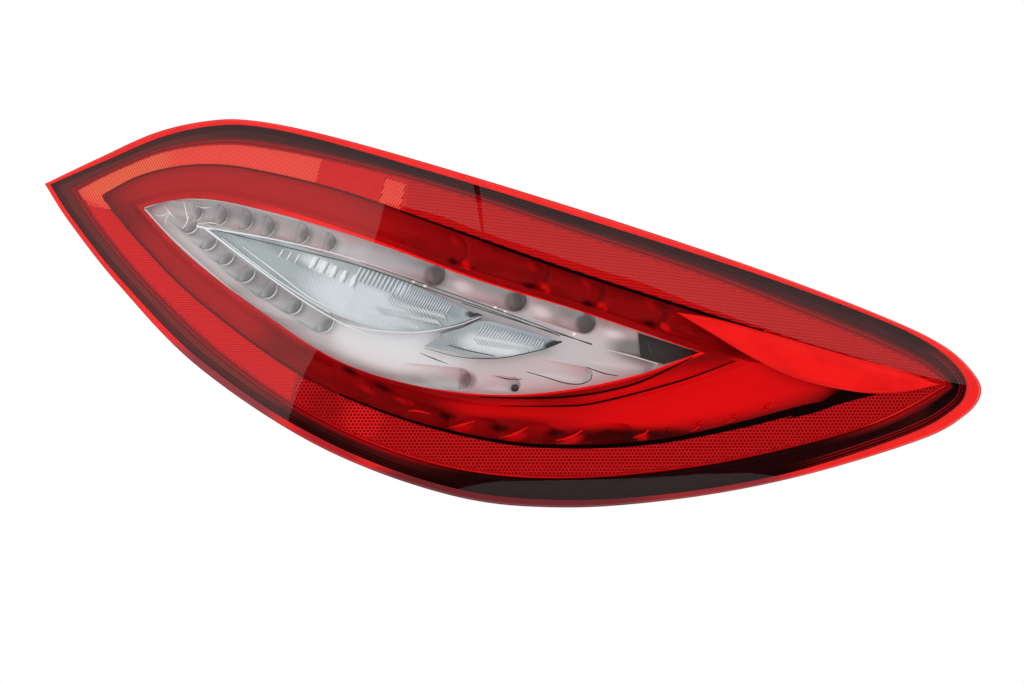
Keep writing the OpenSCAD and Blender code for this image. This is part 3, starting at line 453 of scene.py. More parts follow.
# Painted highlight: the ridge lines turn red towards the right end.
tint_places(M_BEZEL_LINE, [((965, 410), (260, 80), -35, (0.34, 0.016, 0.024), 0.6)])
# Painted shade: the bezel's inner wall and foot darker along the bottom.
tint_places(M_BEZEL_SIDE, [((660, 500), (420, 90), -4, (0.01, 0.001, 0.001), 0.6)])
tint_places(M_BEZEL_FOOT, [((660, 500), (420, 90), -4, (0.012, 0.001, 0.001), 0.6)])
# Painted light: the ledge brighter along the lower middle and at the right end.
tint_places(M_LEDGE, [((430, 470), (200, 60), 10, (0.75, 0.01, 0.012), 0.4),
                      ((915, 410), (60, 30), -28, (1.0, 0.05, 0.03), 0.6)])

flange_l, bezel_l = round_loop(FLANGE_TOP, FLANGE_LOW, N), round_loop(BEZEL_TOP, BEZEL_LOW, N)
# Width of the bright rim, from the left tip along the top to the right end and back
share = np.arange(N) / N
RIM = np.concatenate([np.interp(share, [0, 0.06, 0.9, 0.97, 1], [6, 8, 8.5, 12, 16]),
                      np.interp(share, [0, 0.04, 0.1, 0.2, 0.3, 0.5, 0.7, 0.87, 1],
                                [16, 14, 11.5, 9, 9, 9, 8, 6.5, 6])]) * GRID
bezel_l = toward(flange_l, bezel_l, RIM)


def flange(i, d):
    return lift(toward(flange_l, bezel_l, i * MM), d * MM)


# Outer lens: skirt, lip, rounded shoulder and face up to the window
lens_rows = [(1.6, 20), (1.6, 4.7), (0.35, 4.6), (0.3, 4.2), (0.3, 2.1), (0.45, 1.7), (1.0, 1.62),
             (1.2, 1.5), (1.3, 0.8), (1.6, 0.3), (2.1, 0.06), (2.6, 0.02)]
loops = [flange(i, d) for i, d in lens_rows]
for f in (0.86, 1.02):
    loops.append(lift(flange_l * (1 - f) + bezel_l * f, LENS_D * MM))
lens_edge = len(loops) - 1
outer = flange_l * -0.02 + bezel_l * 1.02
window = loop(WINDOW_TOP, WINDOW_LOW, N)
for f in np.linspace(0, 1, LENS_ROWS + 1)[1:]:
    loops.append(lift(outer * (1 - f) + window * f, LENS_D * MM))
skirt_rows, lip_rows = 2, 7
row_slots = []
for r in range(len(loops) - 1):
    if r < skirt_rows:
        row_slots.append(0)
    elif r < lip_rows or r == lens_edge - 1:
        row_slots.append(3)
    else:
        row_slots.append(1 if r < lens_edge else 2)
lens = loft("lens_shell", loops, [M_SKIRT, M_EDGE, M_PANE, M_LIP], row_slots)
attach(lens, "root")
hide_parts("red_lens")

pts = leaf_grid(WINDOW_TOP, WINDOW_LOW, PANE_COLS, PANE_ROWS)
win = grid_object("window_shell", lift(pts, LENS_D * MM), [M_CLEAR])
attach(win, "root")
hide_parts("clear_window")

# Bezel with its ridges
rfx = toward(loop(REFLEX_TOP, REFLEX_LOW, N), bezel_l, 1.4 * MM)
loops = [lift(bezel_l, BACK_D * MM), lift(bezel_l, 5.3 * MM),
         lift(inner(bezel_l, rfx, 0.3 * MM), BEZEL_D * MM)]
rows = [0, 0, 0]
for mid in (0.95, 2.7, 4.4):
    for off, d in ((-0.4, BEZEL_D), (0, 4.8), (0.4, BEZEL_D)):
        loops.append(lift(inner(bezel_l, rfx, (mid + off) * MM), d * MM))
    rows += [1, 1, 0]
loops += [lift(bezel_l + (rfx - bezel_l) * f, d * MM) for f, d in
          ((0.6, BEZEL_D), (0.72, 5.1), (0.84, 5.6), (0.95, 6.6), (1, 7.6), (1, 10))]
rows += [0, 2, 3, 3, 3, 3]
bezel = loft(
    "bezel_frame", loops, [M_BEZEL, M_BEZEL_LINE, M_BEZEL_SIDE, M_BEZEL_FOOT],
    rows[:len(loops) - 1])
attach(bezel, "root")
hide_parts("bezel")

# Reflex ring: plate, plain margin, then ribs and cells
pkt = loop(POCKET_TOP, POCKET_LOW, N)
MARGIN = 1.7 * MM
loops = [lift(toward(rfx, pkt, i * MM), d * MM) for i, d in
         ((0.3, 10), (0.3, 8.0), (0.5, 7.8), (1.3, 7.8), (1.6, 8.2), (2.0, 8.6))]
loops += [lift(toward(pkt, rfx, i * MM), d * MM) for i, d in
          ((0.6, 8.6), (0.5, 8.1), (0.2, 8), (0, 8.4), (0, 15))]
reflex = loft("reflex_plate", loops, [M_REFLEX, M_LEDGE], [
    1 if r in (1, 2) else 0 for r in range(len(loops) - 1)])
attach(reflex, "root")
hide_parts("reflex_ring")

rib_zone, hole_zone = toward(rfx, pkt, MARGIN + 0.1 * MM), toward(pkt, rfx, 0.5 * MM)


def in_band(p):
    return inside(p, rib_zone) & ~inside(p, hole_zone)


# Honeycomb of cells along the bottom
# Painted shade and light on the cells: a darker patch at their left end, a lighter one just to its
# right.
tint_places(M_PRISM, [
    ((324, 402), (26, 30), 0, (0.42, 0.012, 0.018), 0.3),
    ((363, 422), (24, 26), 0, (0.86, 0.03, 0.04), 0.5)])
CELL_AREA = at((300, 366), (318, 350), (450, 380), (600, 430), (760, 410), (850, 392), (948, 386),
               (960, 400), (900, 470), (600, 520), (380, 480), (282, 440))
verts, faces = [], []
CELL, ROW_SHARE = 2.4 * MM, 0.866
nx, nz = int(LAMP_W / CELL) + 2, int(LAMP_H / (CELL * ROW_SHARE)) + 2
centres = np.array([(-0.29 + (i + 0.5 * (k % 2)) * CELL, -0.125 + k * CELL * ROW_SHARE)
                    for k in range(nz) for i in range(nx)])
centres = centres[in_band(centres) & inside(centres, CELL_AREA)]
turns = np.radians(np.arange(6) * 60 + 30)
hexagon = np.array([(math.cos(a), math.sin(a)) for a in turns]) * CELL * 0.5
for c in centres:
    base = len(verts)
    rim = lift(c + hexagon * 1.16, 7.9 * MM)
    low = lift(c + hexagon * 0.78, 7.95 * MM)
    mid = lift(c[None], 9.0 * MM)
    verts += list(rim) + list(low) + list(mid)
    for k in range(6):
        m = (k + 1) % 6
        faces.append((base + k, base + m, base + 6 + m, base + 6 + k))
        faces.append((base + 6 + k, base + 6 + m, base + 12))
# The pits in the middle of the cells take a darker red than their flat rims: painted shade.
cells = mesh_object("reflex_cells", verts, faces, [M_PRISM, M_HOLE_SHADE], [
    f % 2 for f in range(len(faces))], False)
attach(cells, "root")


def ribs(name, angle, pitch, zone, height, mat):
    """Straight ridges at an angle, cut to the band where zone says so."""
    half = 0.425
    verts, faces = [], []
    u = np.array([math.cos(angle), math.sin(angle)])
    v = np.array([-u[1], u[0]])
    step, stride = 0.3 * MM, 4
    rank = np.arange(int(-0.4 / pitch), int(0.4 / pitch))
    lines = np.arange(-0.42, 0.42, step)[:, None] * u + rank[:, None, None] * pitch * v
    flat = lines.reshape(-1, 2)
    kept = zone(flat)
    kept[kept] = in_band(flat[kept])
    for line, keep in zip(lines, kept.reshape(lines.shape[:2])):
        run = []
        for i in range(len(line) + 1):
            if i < len(line) and keep[i]:
                run.append(line[i])
                continue
            if len(run) > 1:
                r = np.array(run[:-1:stride] + run[-1:])
                base, n = len(verts), len(r)
                verts += list(lift(r - v * pitch * half, RIB_D * MM))
                verts += list(lift(r, RIB_D * MM - height))
                verts += list(lift(r + v * pitch * half, RIB_D * MM))
                for j in range(n - 1):
                    faces.append((base + j, base + j + 1, base + n + j + 1, base + n + j))
                    faces.append(
                        (base + n + j, base + n + j + 1, base + 2 * n + j + 1, base + 2 * n + j))
            run = []
    obj = mesh_object(name, verts, faces, [mat], None, False)
    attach(obj, "root")


# The ribs are one red plastic. The left and top ribs take a lighter copy of it. The orange copy,
# with its brighter spot at the upper left and also used on the small block, is painted light.
M_RIB = material("reflex_rib", (0.62, 0.008, 0.012), 0.25, spec=0.2)
M_RIB_LEFT = material("reflex_rib_left", (0.8, 0.012, 0.02), 0.25, spec=0.2)
M_RIB_PAINTED_LIGHT = material("reflex_rib_painted_light", (1.0, 0.19, 0.13), 0.25, spec=0.2)
tint_places(M_RIB_PAINTED_LIGHT, [((124, 170), (64, 32), -25, (1.0, 0.36, 0.16), 0.5)])
AREA_PAINTED_LIGHT = at(
    (70, 120), (300, 120), (322, 160), (312, 200), (280, 200), (180, 190), (110, 210), (60, 200))
AREA_RED = at((300, 120), (400, 150), (412, 160), (404, 222), (330, 210), (312, 200), (322, 160))
AREA_BLOCK = at((386, 178), (406, 184), (399, 212), (378, 208))
AREA_RIGHT = at((412, 150), (1000, 340), (1000, 384), (948, 386), (760, 372), (404, 222),
                (406, 184))
AREA_LEFT = at((60, 188), (110, 210), (195, 285), (318, 350), (300, 366), (282, 440), (60, 330))


def area(poly, hole=None):
    return lambda p: inside(p, poly) & (~inside(p, hole) if hole is not None else True)


ribs("reflex_ribs_left", math.radians(0), 1.5 * MM, area(AREA_LEFT), 0.5 * MM, M_RIB_LEFT)
ribs("reflex_ribs_painted_light", math.radians(-62), 1.5 * MM, area(AREA_PAINTED_LIGHT), 0.45 * MM, M_RIB_PAINTED_LIGHT)
ribs(
    "reflex_ribs_top", math.radians(-62), 1.5 * MM, area(AREA_RED, AREA_BLOCK), 0.45 * MM,
    M_RIB_LEFT)
ribs("reflex_ribs_block", math.radians(58), 1.6 * MM, area(AREA_BLOCK), 0.45 * MM, M_RIB_PAINTED_LIGHT)
ribs("reflex_ribs_right", math.radians(-6), 2.0 * MM, area(AREA_RIGHT), 0.5 * MM, M_RIB)


def scoops(p, depth, list_of, floor_d):
    """Scoops that deepen along their heading and end in a round wall."""
    for end, r, turn, run, deep in list_of:
        u = np.array([math.cos(math.radians(turn)), -math.sin(math.radians(turn))])
        v = np.array([-u[1], u[0]])
        q = p - (at(end)[0] - u * r * GRID)
        s, t = q @ u, q @ v
        rho = np.where(s > 0, np.hypot(s, t), np.abs(t)) / (r * GRID)
        ramp = np.clip(1 + s / (run * GRID), 0, 1)
        bowl = np.sqrt(np.clip(1 - rho ** 2, 0, None))
        wall = np.clip((1 - rho) * 5, 0, 1)
        hollow = deep * MM * ramp * np.where(s > 0, wall ** 0.6, bowl ** 0.7)
        depth = np.where((rho < 1) & (ramp > 0), np.maximum(depth, floor_d + hollow), depth)
    return depth


# Ring of tail reflectors: a channel with scoops
pkt_f = loop(POCKET_TOP, POCKET_LOW, RING_COLS)
col_f = loop(COLLAR_TOP, COLLAR_LOW, RING_COLS)
t = np.linspace(0, 1, RING_ROWS + 1)[:, None, None]
pts = pkt_f[None] * (1 - t) + col_f[None] * t
profile = np.interp(t[:, 0, 0], [0, 0.06, 0.2, 0.5, 0.8, 0.94, 1], [
    10, 12, RING_D, DECK_D, RING_D, 11, 8])
depth = np.repeat(profile[:, None] * MM, pts.shape[1], 1)
RING_SCOOPS = [
    ((372, 394), 11, 28, 40, 3), ((410, 412), 11, 24, 40, 3), ((467, 254), 15, 17, 50, 3),
    ((549, 277), 15, 17, 60, 3), ((604, 296), 14, 18, 45, 3), ((667, 316), 14, 18, 50, 3),
    ((448, 425), 12, 20, 50, 4), ((500, 432), 12, 8, 40, 4), ((556, 436), 12, 2, 45, 4),
    ((632, 432), 9, -2, 45, 4)]
depth = scoops(pts, depth, RING_SCOOPS, RING_D * MM)
loops = [np.stack([p[:, 0], face_y(p, d), p[:, 1]], 1) for p, d in zip(pts, depth)]
# Painted light and shade on the ring: lighter over the left, a bright zone along the lower middle
# and right, highlights and shade at the scoops, and darker along the bottom.
RED_PAINTED_SOFT_LIGHT, RED_PAINTED_LIGHT, RED_PAINTED_SHADE = (0.5, 0.004, 0.008), (0.72, 0.006, 0.01), (0.07, 0.0, 0.001)
tint_places(M_RING, [
    ((250, 200), (190, 60), 14, RED_PAINTED_SOFT_LIGHT, 0.5), ((200, 290), (110, 60), 50, RED_PAINTED_SOFT_LIGHT, 0.5),
    ((700, 396), (190, 36), -9, (0.82, 0.006, 0.01), 0.5),
    ((790, 372), (70, 24), 8, (0.85, 0.008, 0.012), 0.5),
    ((520, 410), (130, 12), 2, (0.7, 0.004, 0.008), 0.3),
    ((410, 402), (70, 12), 14, (0.22, 0.002, 0.004), 0.3),
    ((640, 438), (130, 14), 1, RED_PAINTED_SHADE, 0.3), ((466, 265), (8, 4.5), 50, RED_PAINTED_LIGHT, 0.4),
    ((545, 288), (9, 4.5), 48, RED_PAINTED_LIGHT, 0.4), ((602, 306), (9, 4.5), 46, RED_PAINTED_LIGHT, 0.4),
    ((665, 327), (9, 4.5), 44, RED_PAINTED_LIGHT, 0.4), ((455, 241), (10, 5), 50, RED_PAINTED_SOFT_LIGHT, 0.2),
    ((531, 266), (10, 5), 50, RED_PAINTED_SOFT_LIGHT, 0.2), ((586, 284), (10, 5), 48, RED_PAINTED_SOFT_LIGHT, 0.2),
    ((650, 305), (10, 5), 46, RED_PAINTED_SOFT_LIGHT, 0.2), ((453, 262), (8, 5), 17, RED_PAINTED_SHADE, 0.2),
    ((530, 286), (11, 5), 17, RED_PAINTED_SHADE, 0.2), ((588, 304), (11, 5), 17, RED_PAINTED_SHADE, 0.2),
    ((650, 324), (12, 5), 17, RED_PAINTED_SHADE, 0.2), ((350, 371), (14, 5), 30, RED_PAINTED_SHADE, 0.2),
    ((382, 387), (18, 5), 24, RED_PAINTED_SHADE, 0.2), ((366, 389), (15, 4), 28, (0.52, 0.004, 0.008), 0.2),
    ((404, 401), (16, 4), 20, (0.52, 0.004, 0.008), 0.2), ((462, 429), (15, 6), -10, RED_PAINTED_LIGHT, 0.2),
    ((516, 437), (17, 6), -14, RED_PAINTED_LIGHT, 0.2), ((572, 440), (17, 6), -16, RED_PAINTED_LIGHT, 0.2),
    ((642, 437), (9, 5), 0, RED_PAINTED_LIGHT, 0.2), ((447, 416), (13, 6), 10, RED_PAINTED_SHADE, 0.2),
    ((500, 428), (15, 6), 5, RED_PAINTED_SHADE, 0.2), ((556, 433), (15, 6), 0, RED_PAINTED_SHADE, 0.2),
    ((610, 433), (16, 6), 0, RED_PAINTED_SHADE, 0.2)])
ring = loft("tail_ring", loops, [M_RING])
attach(ring, "root")
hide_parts("tail_reflector")

# Collar round the window
col, win_l = loop(COLLAR_TOP, COLLAR_LOW, N), loop(WINDOW_TOP, WINDOW_LOW, N)
# Painted light: the collar brighter over its middle and along its lower edge.
tint_places(M_COLLAR, [((500, 300), (300, 90), 17, (1.0, 0.014, 0.012), 0.7),
                       ((590, 385), (200, 26), -6, (0.9, 0.01, 0.012), 0.5)])
loops = [
    lift(col, BACK_D * MM), lift(col, 6.3 * MM), lift(toward(col, win_l, 0.5 * MM), 6 * MM),
    lift(toward(win_l, col, 3.7 * MM), 5.8 * MM), lift(toward(win_l, col, 3.4 * MM), 5.1 * MM),
    lift(toward(win_l, col, 0.4 * MM), 5 * MM), lift(win_l, 5.3 * MM), lift(win_l, BACK_D * MM)]
collar = loft("collar_band", loops, [M_COLLAR, M_RING], [1, 1, 1, 0, 0, 0, 0])
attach(collar, "root")
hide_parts("window_collar")

# Silver reflector with its scoops: end, radius, heading below +X, run and depth
SCOOPS = [
    ((203, 213), 9, 5, 26, 5), ((228, 217), 12, 13, 24, 6), ((253, 222), 12, 15, 24, 6),
    ((275, 229), 12, 16, 22, 6), ((309, 236), 12, 16, 30, 6), ((336, 245), 11, 16, 26, 6),
    ((445, 277), 12.5, 17.5, 90, 8), ((526, 303), 12.5, 17.5, 70, 8), ((595, 325), 12.5, 18, 60, 8),
    ((196, 230), 10, 40, 20, 5), ((215, 246), 11, 38, 22, 5), ((232, 261), 11, 38, 22, 5),
    ((253, 278), 12, 37, 24, 6), ((275, 294), 12, 36, 24, 6), ((301, 309), 12, 33, 28, 6),
    ((332, 327), 13, 32, 34, 6), ((471, 380), 11, 5, 60, 7), ((520, 385), 7, 5, 30, 4),
    ((592, 377), 8.5, 10, 60, 5), ((655, 367), 9, 12, 60, 4)]
pts = leaf_grid(WINDOW_TOP, WINDOW_LOW, SILVER_COLS, SILVER_ROWS)
depth = np.full(pts.shape[:2], DECK_D * MM)
depth = scoops(pts, depth, SCOOPS, DECK_D * MM)
POCKET_SHADE = (0.3, 0.3, 0.305)
tint_places(M_CHROME, [((e[0] - 3, e[1] - 1), (r * 0.95, r * 1.05), turn, POCKET_SHADE, 0.2)
                       for e, r, turn, *_ in SCOOPS if e[0] < 340])
# Painted light and shade on the silver: a bluish reflection along the top edge, pink reflections
# along the bottom, pale highlights over the lower middle and just past the three big scoops, shade
# in those scoops' ends, and darker patches at a lower scoop and at the lower right.
SHADE, PAINTED_PALE_LIGHT, PAINTED_PINK_REFLECTION = (0.28, 0.275, 0.285), (0.98, 0.98, 1.0), (0.8, 0.7, 0.72)
tint_places(M_CHROME, [
    ((385, 262), (60, 14), 17, (0.72, 0.8, 0.85), 0.4), ((520, 372), (110, 26), 3, PAINTED_PINK_REFLECTION, 0.5),
    ((600, 350), (80, 26), 10, (0.75, 0.7, 0.72), 0.5), ((400, 345), (85, 34), 8, PAINTED_PALE_LIGHT, 0.6),
    ((463, 286), (15, 8), 17, PAINTED_PALE_LIGHT, 0.2), ((541, 311), (15, 8), 17, PAINTED_PALE_LIGHT, 0.2),
    ((615, 335), (16, 7), 17, PAINTED_PALE_LIGHT, 0.2), ((436, 277), (15, 14), 17, SHADE, 0.5),
    ((517, 302), (15, 14), 17, SHADE, 0.5), ((586, 324), (14, 13), 17, SHADE, 0.5),
    ((430, 277), (5, 12), -10, (0.4, 0.4, 0.4), 0.3),
    ((511, 301), (5, 12), -10, (0.4, 0.4, 0.4), 0.3),
    ((468, 380), (12, 11), 5, (0.4, 0.28, 0.3), 0.4),
    ((634, 350), (36, 17), 12, (0.3, 0.3, 0.3), 0.3)])
silver = grid_object(
    "silver_reflector", np.stack([pts[..., 0], face_y(pts, depth), pts[..., 1]], -1), [M_CHROME])
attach(silver, "root")
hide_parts("middle_reflector")


def optic(name, top, low, n, rows, node, pitch, slant):
    """A clear fluted blade."""
    pts = leaf_grid(top, low, n, rows)
    phase = (pts[..., 0] + slant * pts[..., 1]) / pitch
    flute = np.abs((phase % 1) - 0.5) * 2
    edge = np.minimum(np.linspace(0, 1, rows + 1), np.linspace(1, 0, rows + 1))[:, None] * 6
    d = 7 * MM + 0.9 * MM * flute * np.clip(edge, 0, 1) + (1 - np.clip(edge * 2, 0, 1)) * 0.5 * MM
    obj = grid_object(name, np.stack([pts[..., 0], face_y(pts, d), pts[..., 1]], -1), [M_OPTIC])
    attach(obj, "root")
    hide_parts(node)


# The clear optics are drawn opaque: their grey and these lighter and darker patches, with two
# near-black spots at their right tips, are painted light and shade.
tint_places(M_OPTIC, [
    ((362, 302), (82, 32), 18, (0.76, 0.79, 0.83), 0.4),
    ((443, 303), (32, 12), 19, (0.36, 0.4, 0.45), 0.3),
    ((322, 266), (30, 10), 25, (0.9, 0.92, 0.94), 0.2),
    ((473, 314), (10, 5), 0, (0.08, 0.08, 0.1), 0.4),
    ((497, 344), (48, 16), 5, (0.9, 0.9, 0.93), 0.4), ((528, 334), (34, 12), 18, (0.4, 0.44, 0.49),
    0.3), ((553, 345), (12, 6), -10, (0.06, 0.06, 0.08), 0.4),
    ((445, 343), (20, 8), -20, (0.42, 0.43, 0.46), 0.3)])
optic("reverse_blade", REVERSE_TOP, REVERSE_LOW, 360, 24, "reverse_optic", 2.6 * MM, 0.35)
optic("indicator_blade", INDICATOR_TOP, INDICATOR_LOW, 200, 16, "indicator_optic", 2.4 * MM, 0.35)

# Light guide blade with rounded edges
pts = leaf_grid(BLADE_TOP, BLADE_LOW, PANE_COLS, PANE_ROWS)
v = np.linspace(-1, 1, PANE_ROWS + 1)[:, None]
d = 4 * MM + 2.2 * MM * np.abs(v) ** 6 * np.ones((1, PANE_COLS + 1))
blade = grid_object(
    "guide_blade", np.stack([pts[..., 0], face_y(pts, d), pts[..., 1]], -1), [M_GUIDE])
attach(blade, "root")
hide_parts("light_blade")


def domes(name, places, radius, depth, mat, node=None):
    """Small domes that face out of the lamp."""
    verts, faces = [], []
    for q in places:
        o = lift(at(q), depth)[0]
        base = len(verts)
        for i in range(DOME_RINGS + 1):
            a = i / DOME_RINGS * math.pi / 2
            for k in range(DOME_SIDES):
                b = k / DOME_SIDES * 2 * math.pi
                verts.append(
                    (o[0] + radius * math.cos(a) * math.cos(b), o[1] - radius * math.sin(a),
                    o[2] + radius * math.cos(a) * math.sin(b)))
        for i in range(DOME_RINGS):
            low, high = base + i * DOME_SIDES, base + (i + 1) * DOME_SIDES
            for k in range(DOME_SIDES):
                m = (k + 1) % DOME_SIDES
                faces.append((low + k, low + m, high + m, high + k))
    obj = mesh_object(name, verts, faces, [mat])
    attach(obj, "root")
    if node:
        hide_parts(node)


# The packages get a faint glow: painted light for their bright specks.
domes(
    "package_domes", [(425, 286), (413.5, 282), (495, 307.7), (505, 312), (574, 334)], 1.2 * MM,
    13 * MM, M_LED, "middle_leds")
domes("lower_ball", [(515, 388)], 2.6 * MM, 15 * MM, M_DARK)
domes("stop_lamps", [(633, 433), (669, 430), (700, 424), (735, 417), (768, 407)], 1.5 * MM, 12 * MM,
      M_RING)

# Fine lines and patches of painted light and shade: shade in the seams, highlights on lit facets,
# and highlights and shade on the edges and flutes of the clear optics


def part_of(curve, low_x, high_x):
    """The stretch of a curve between two places along the drawing grid."""
    a, b = at((low_x, 0), (high_x, 0))[:, 0]
    return curve[(curve[:, 0] > a) & (curve[:, 0] < b)]


# Painted shade: a black line in the gap round the pocket, and a softer one along its left part.
ribbons("pocket_gap_shade", [
    (part_of(side(POCKET_TOP, 300), 400, 764), [1.6, 2.6, 3.4, 3.4, 3.4, 3.4, 3.0]),
    (part_of(side(POCKET_LOW, 300), 340, 884), [1.0, 8.0, 7.0, 5.0, 4.4, 4.0, 3.4, 2.6, 2.0])],
    7.6 * MM, M_SHADE_BLACK)
ribbons("pocket_shadow", [
    (part_of(side(POCKET_TOP, 300), 104, 420), [2.2, 2.0, 2.0, 2.4]),
    (part_of(side(POCKET_LOW, 300), 104, 350), [2.4, 2.2, 2.4])], 7.7 * MM, M_SHADOW)


def sheet(name, outlines, depth, mat):
    """Flat patches on the face."""
    verts, faces = [], []
    for points in outlines:
        faces.append(list(range(len(verts), len(verts) + len(points))))
        verts += list(lift(at(*points), depth))
    obj = mesh_object(name, verts, faces, [mat], None, False)
    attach(obj, "root")


# A black patch of painted shade where the gap along the pocket's lower edge widens at the right.
sheet("dark_wedge", [
    [(785, 420), (815, 406), (832, 396), (846, 387), (883, 393), (850, 401), (815, 413)]], 7.5 * MM,
    M_SHADE_BLACK)
sheet(
    "deck_wedge", [[(638, 333), (700, 353), (664, 364), (641, 358)]], 12.6 * MM, M_DARK)
# Painted shade: black lines in the gaps along the collar's lower edge.
ribbons("collar_gap_shade", [
    ([(480, 397), (540, 398), (590, 394), (640, 382), (693, 357)], [1.0, 2.0, 2.0, 2.0, 1.0]),
    ([(500, 406), (560, 406), (600, 402), (680, 381), (735, 361)], [0.8, 1.8, 2.0, 1.8, 1.0])],
    4.7 * MM, M_SHADE_BLACK)
# Painted highlights on facets along the bottom of the ring.
ribbons("ring_facet_highlights", [
    ([(449, 428), (461, 425), (475, 421)], [1, 2.4, 0.8]),
    ([(500, 438), (515, 434), (528, 427)], [1, 3, 0.8]),
    ([(556, 441), (571, 437), (583, 430)], [1, 3, 0.8]),
    ([(634, 438), (643, 435), (649, 430)], [1, 2.4, 1]),
    ([(690, 432), (698, 428), (704, 421)], [1, 2.4, 1]),
    ([(726, 424), (734, 420), (740, 413)], [1, 2.4, 1]),
    ([(762, 414), (770, 408), (774, 402)], [1, 2.2, 1]),
    ([(408, 411), (418, 411), (430, 414)], [1, 2, 1])], 11.2 * MM, M_FACET_HIGHLIGHT)
# Painted highlights along the edges of the optics and nearby rims, and painted shade in the dark
# lines across the optics and the deck below them.
EDGES = [
    ([(197, 226), (205, 228), (250, 235), (300, 245), (350, 258), (420, 281)],
    [2.2, 1.8, 1.5, 1.2, 0.9, 0.2]),
    ([(205, 228), (240, 255), (275, 281), (310, 305), (345, 325), (370, 336)],
    [2.2, 1.8, 1.5, 1.2, 1]), ([(222, 238), (250, 260), (285, 285), (330, 313)],
    [0.8, 1.2, 1.2, 0.8]), ([(345, 325), (380, 331), (420, 332), (455, 326), (481, 317)],
    [1, 1.2, 1.0, 0.8]), ([(145, 208), (165, 201), (190, 199), (230, 203), (300, 221)],
    [1.4, 1.0, 0.6]), ([(145, 209), (170, 236), (215, 276), (272, 322), (330, 360)],
    [1.6, 1.4, 1.0, 0.8]), ([(184, 201), (187, 214), (188, 222)], [0.6, 1.1, 0.6]),
    ([(183, 229), (187, 223), (189, 216)], [0.6, 1.1, 0.6]),
    ([(243, 247), (275, 271), (309, 297), (338, 311)], [0.8, 1.4, 1.2, 0.8]),
    ([(154, 215), (162, 216), (170, 212)], [0.3, 1.0, 0.6]),
    ([(165, 206), (170, 213), (176, 219)], [0.3, 1.2, 0.3]),
    ([(171, 212), (166, 220), (167, 226)], [0.8, 0.8, 0.2]),
    ([(196, 206), (204, 208), (214, 207)], [0.3, 0.9, 0.3]),
    ([(198, 224), (212, 223), (222, 226)], [0.3, 1.0, 0.3]),
    ([(608, 350), (635, 357), (658, 364)], [0.6, 0.9, 0.7])]
ribbons("optic_edge_highlights", EDGES, 6.4 * MM, M_PAINTED_HIGHLIGHT)
GROOVES = [
    ([(648, 342), (650, 351), (655, 360)], [0.6, 1.2, 0.6]),
    ([(425, 348), (460, 357), (500, 358), (540, 350), (562, 342)], [0.5, 0.8, 1.0, 1.0]),
    ([(440, 333), (462, 327), (481, 318)], [0.4, 1.2, 1.6]),
    ([(360, 262), (430, 286), (500, 311), (592, 345)], [0.4, 0.9, 1.0, 0.8]),
    ([(212, 229), (260, 241), (310, 253), (360, 266), (430, 290), (500, 314), (560, 336)],
    [0.6, 0.9, 0.9, 0.8]), ([(462, 303), (520, 322), (592, 344)], [0.8, 1.0, 0.8]),
    ([(470, 317), (476, 314), (483, 316)], [1, 2.5, 1]),
    ([(545, 347), (553, 343), (562, 341)], [0.8, 3, 0.6]),
    ([(527, 372), (545, 377), (565, 383), (580, 384), (590, 380), (592, 374)],
    [0.8, 1.2, 1.2, 0.8]), ([(586, 367), (603, 373), (618, 376)], [0.8, 1.2, 0.8]),
    ([(496, 376), (508, 379), (522, 379)], [0.6, 1.3, 0.6]),
    ([(420, 353), (435, 359), (448, 364)], [0.4, 1.2, 0.4]),
    ([(448, 345), (470, 351), (495, 356)], [0.6, 1, 0.6])]
ribbons("optic_grooves", GROOVES, 6.3 * MM, M_DARK)


def arcs(pockets, low, high, width):
    """Painted highlight arcs on the far rims of pockets, between two angles of their headings."""
    out = []
    for end, r, turn, *_ in pockets:
        a = np.radians(np.linspace(low, high, 5) + turn)
        c = np.array(end) - r * np.array(
            [math.cos(math.radians(turn)), math.sin(math.radians(turn))])
        out.append(
            ([tuple(c + r * np.array([math.cos(t), math.sin(t)])) for t in a],
            [width * 0.4, width, width * 0.4]))
    return out


ribbons(
    "pocket_rims", arcs([q for q in SCOOPS if q[2] > 30], -45, 60, 1.5)
    + arcs([q for q in SCOOPS if q[2] < 17 and q[0][0] < 340], 0, 85, 1.0), 12.6 * MM, M_PAINTED_LIGHT)


def fan(from_a, to_a, from_b, to_b, count, width):
    """Straight strips between two lines, evenly spread."""
    out = []
    for k in range(count):
        f = k / (count - 1)
        a = np.array(from_a) * (1 - f) + np.array(to_a) * f
        b = np.array(from_b) * (1 - f) + np.array(to_b) * f
        out.append(([tuple(a), tuple((a + b) / 2), tuple(b)], [width * 0.5, width, width * 0.5]))
    return out


# Painted highlights and shade on the flutes of the clear optics.
ribbons(
    "flute_facet_highlights", fan((316, 257), (356, 275), (310, 268), (350, 287), 5, 5.0)
    + fan((300, 254), (284, 249), (295, 263), (279, 257), 3, 1.6)
    + fan((386, 298), (440, 313), (392, 306), (446, 319), 16, 1.5)
    + fan((374, 306), (434, 319), (381, 314), (441, 325), 18, 1.4)
    + fan((364, 315), (414, 324), (370, 322), (420, 330), 15, 1.1)
    + fan((472, 338), (522, 347), (478, 345), (528, 352), 15, 1.4)
    + fan((462, 345), (506, 352), (467, 351), (511, 357), 13, 1.1), 6.7 * MM, M_PAINTED_HIGHLIGHT)
ribbons(
    "flute_lights", fan((362, 266), (412, 283), (354, 280), (404, 298), 13, 1.8)
    + fan((398, 282), (452, 303), (390, 298), (444, 316), 24, 1.1)
    + fan((484, 324), (544, 341), (476, 336), (540, 348), 22, 1.2), 6.6 * MM, M_PAINTED_LIGHT)
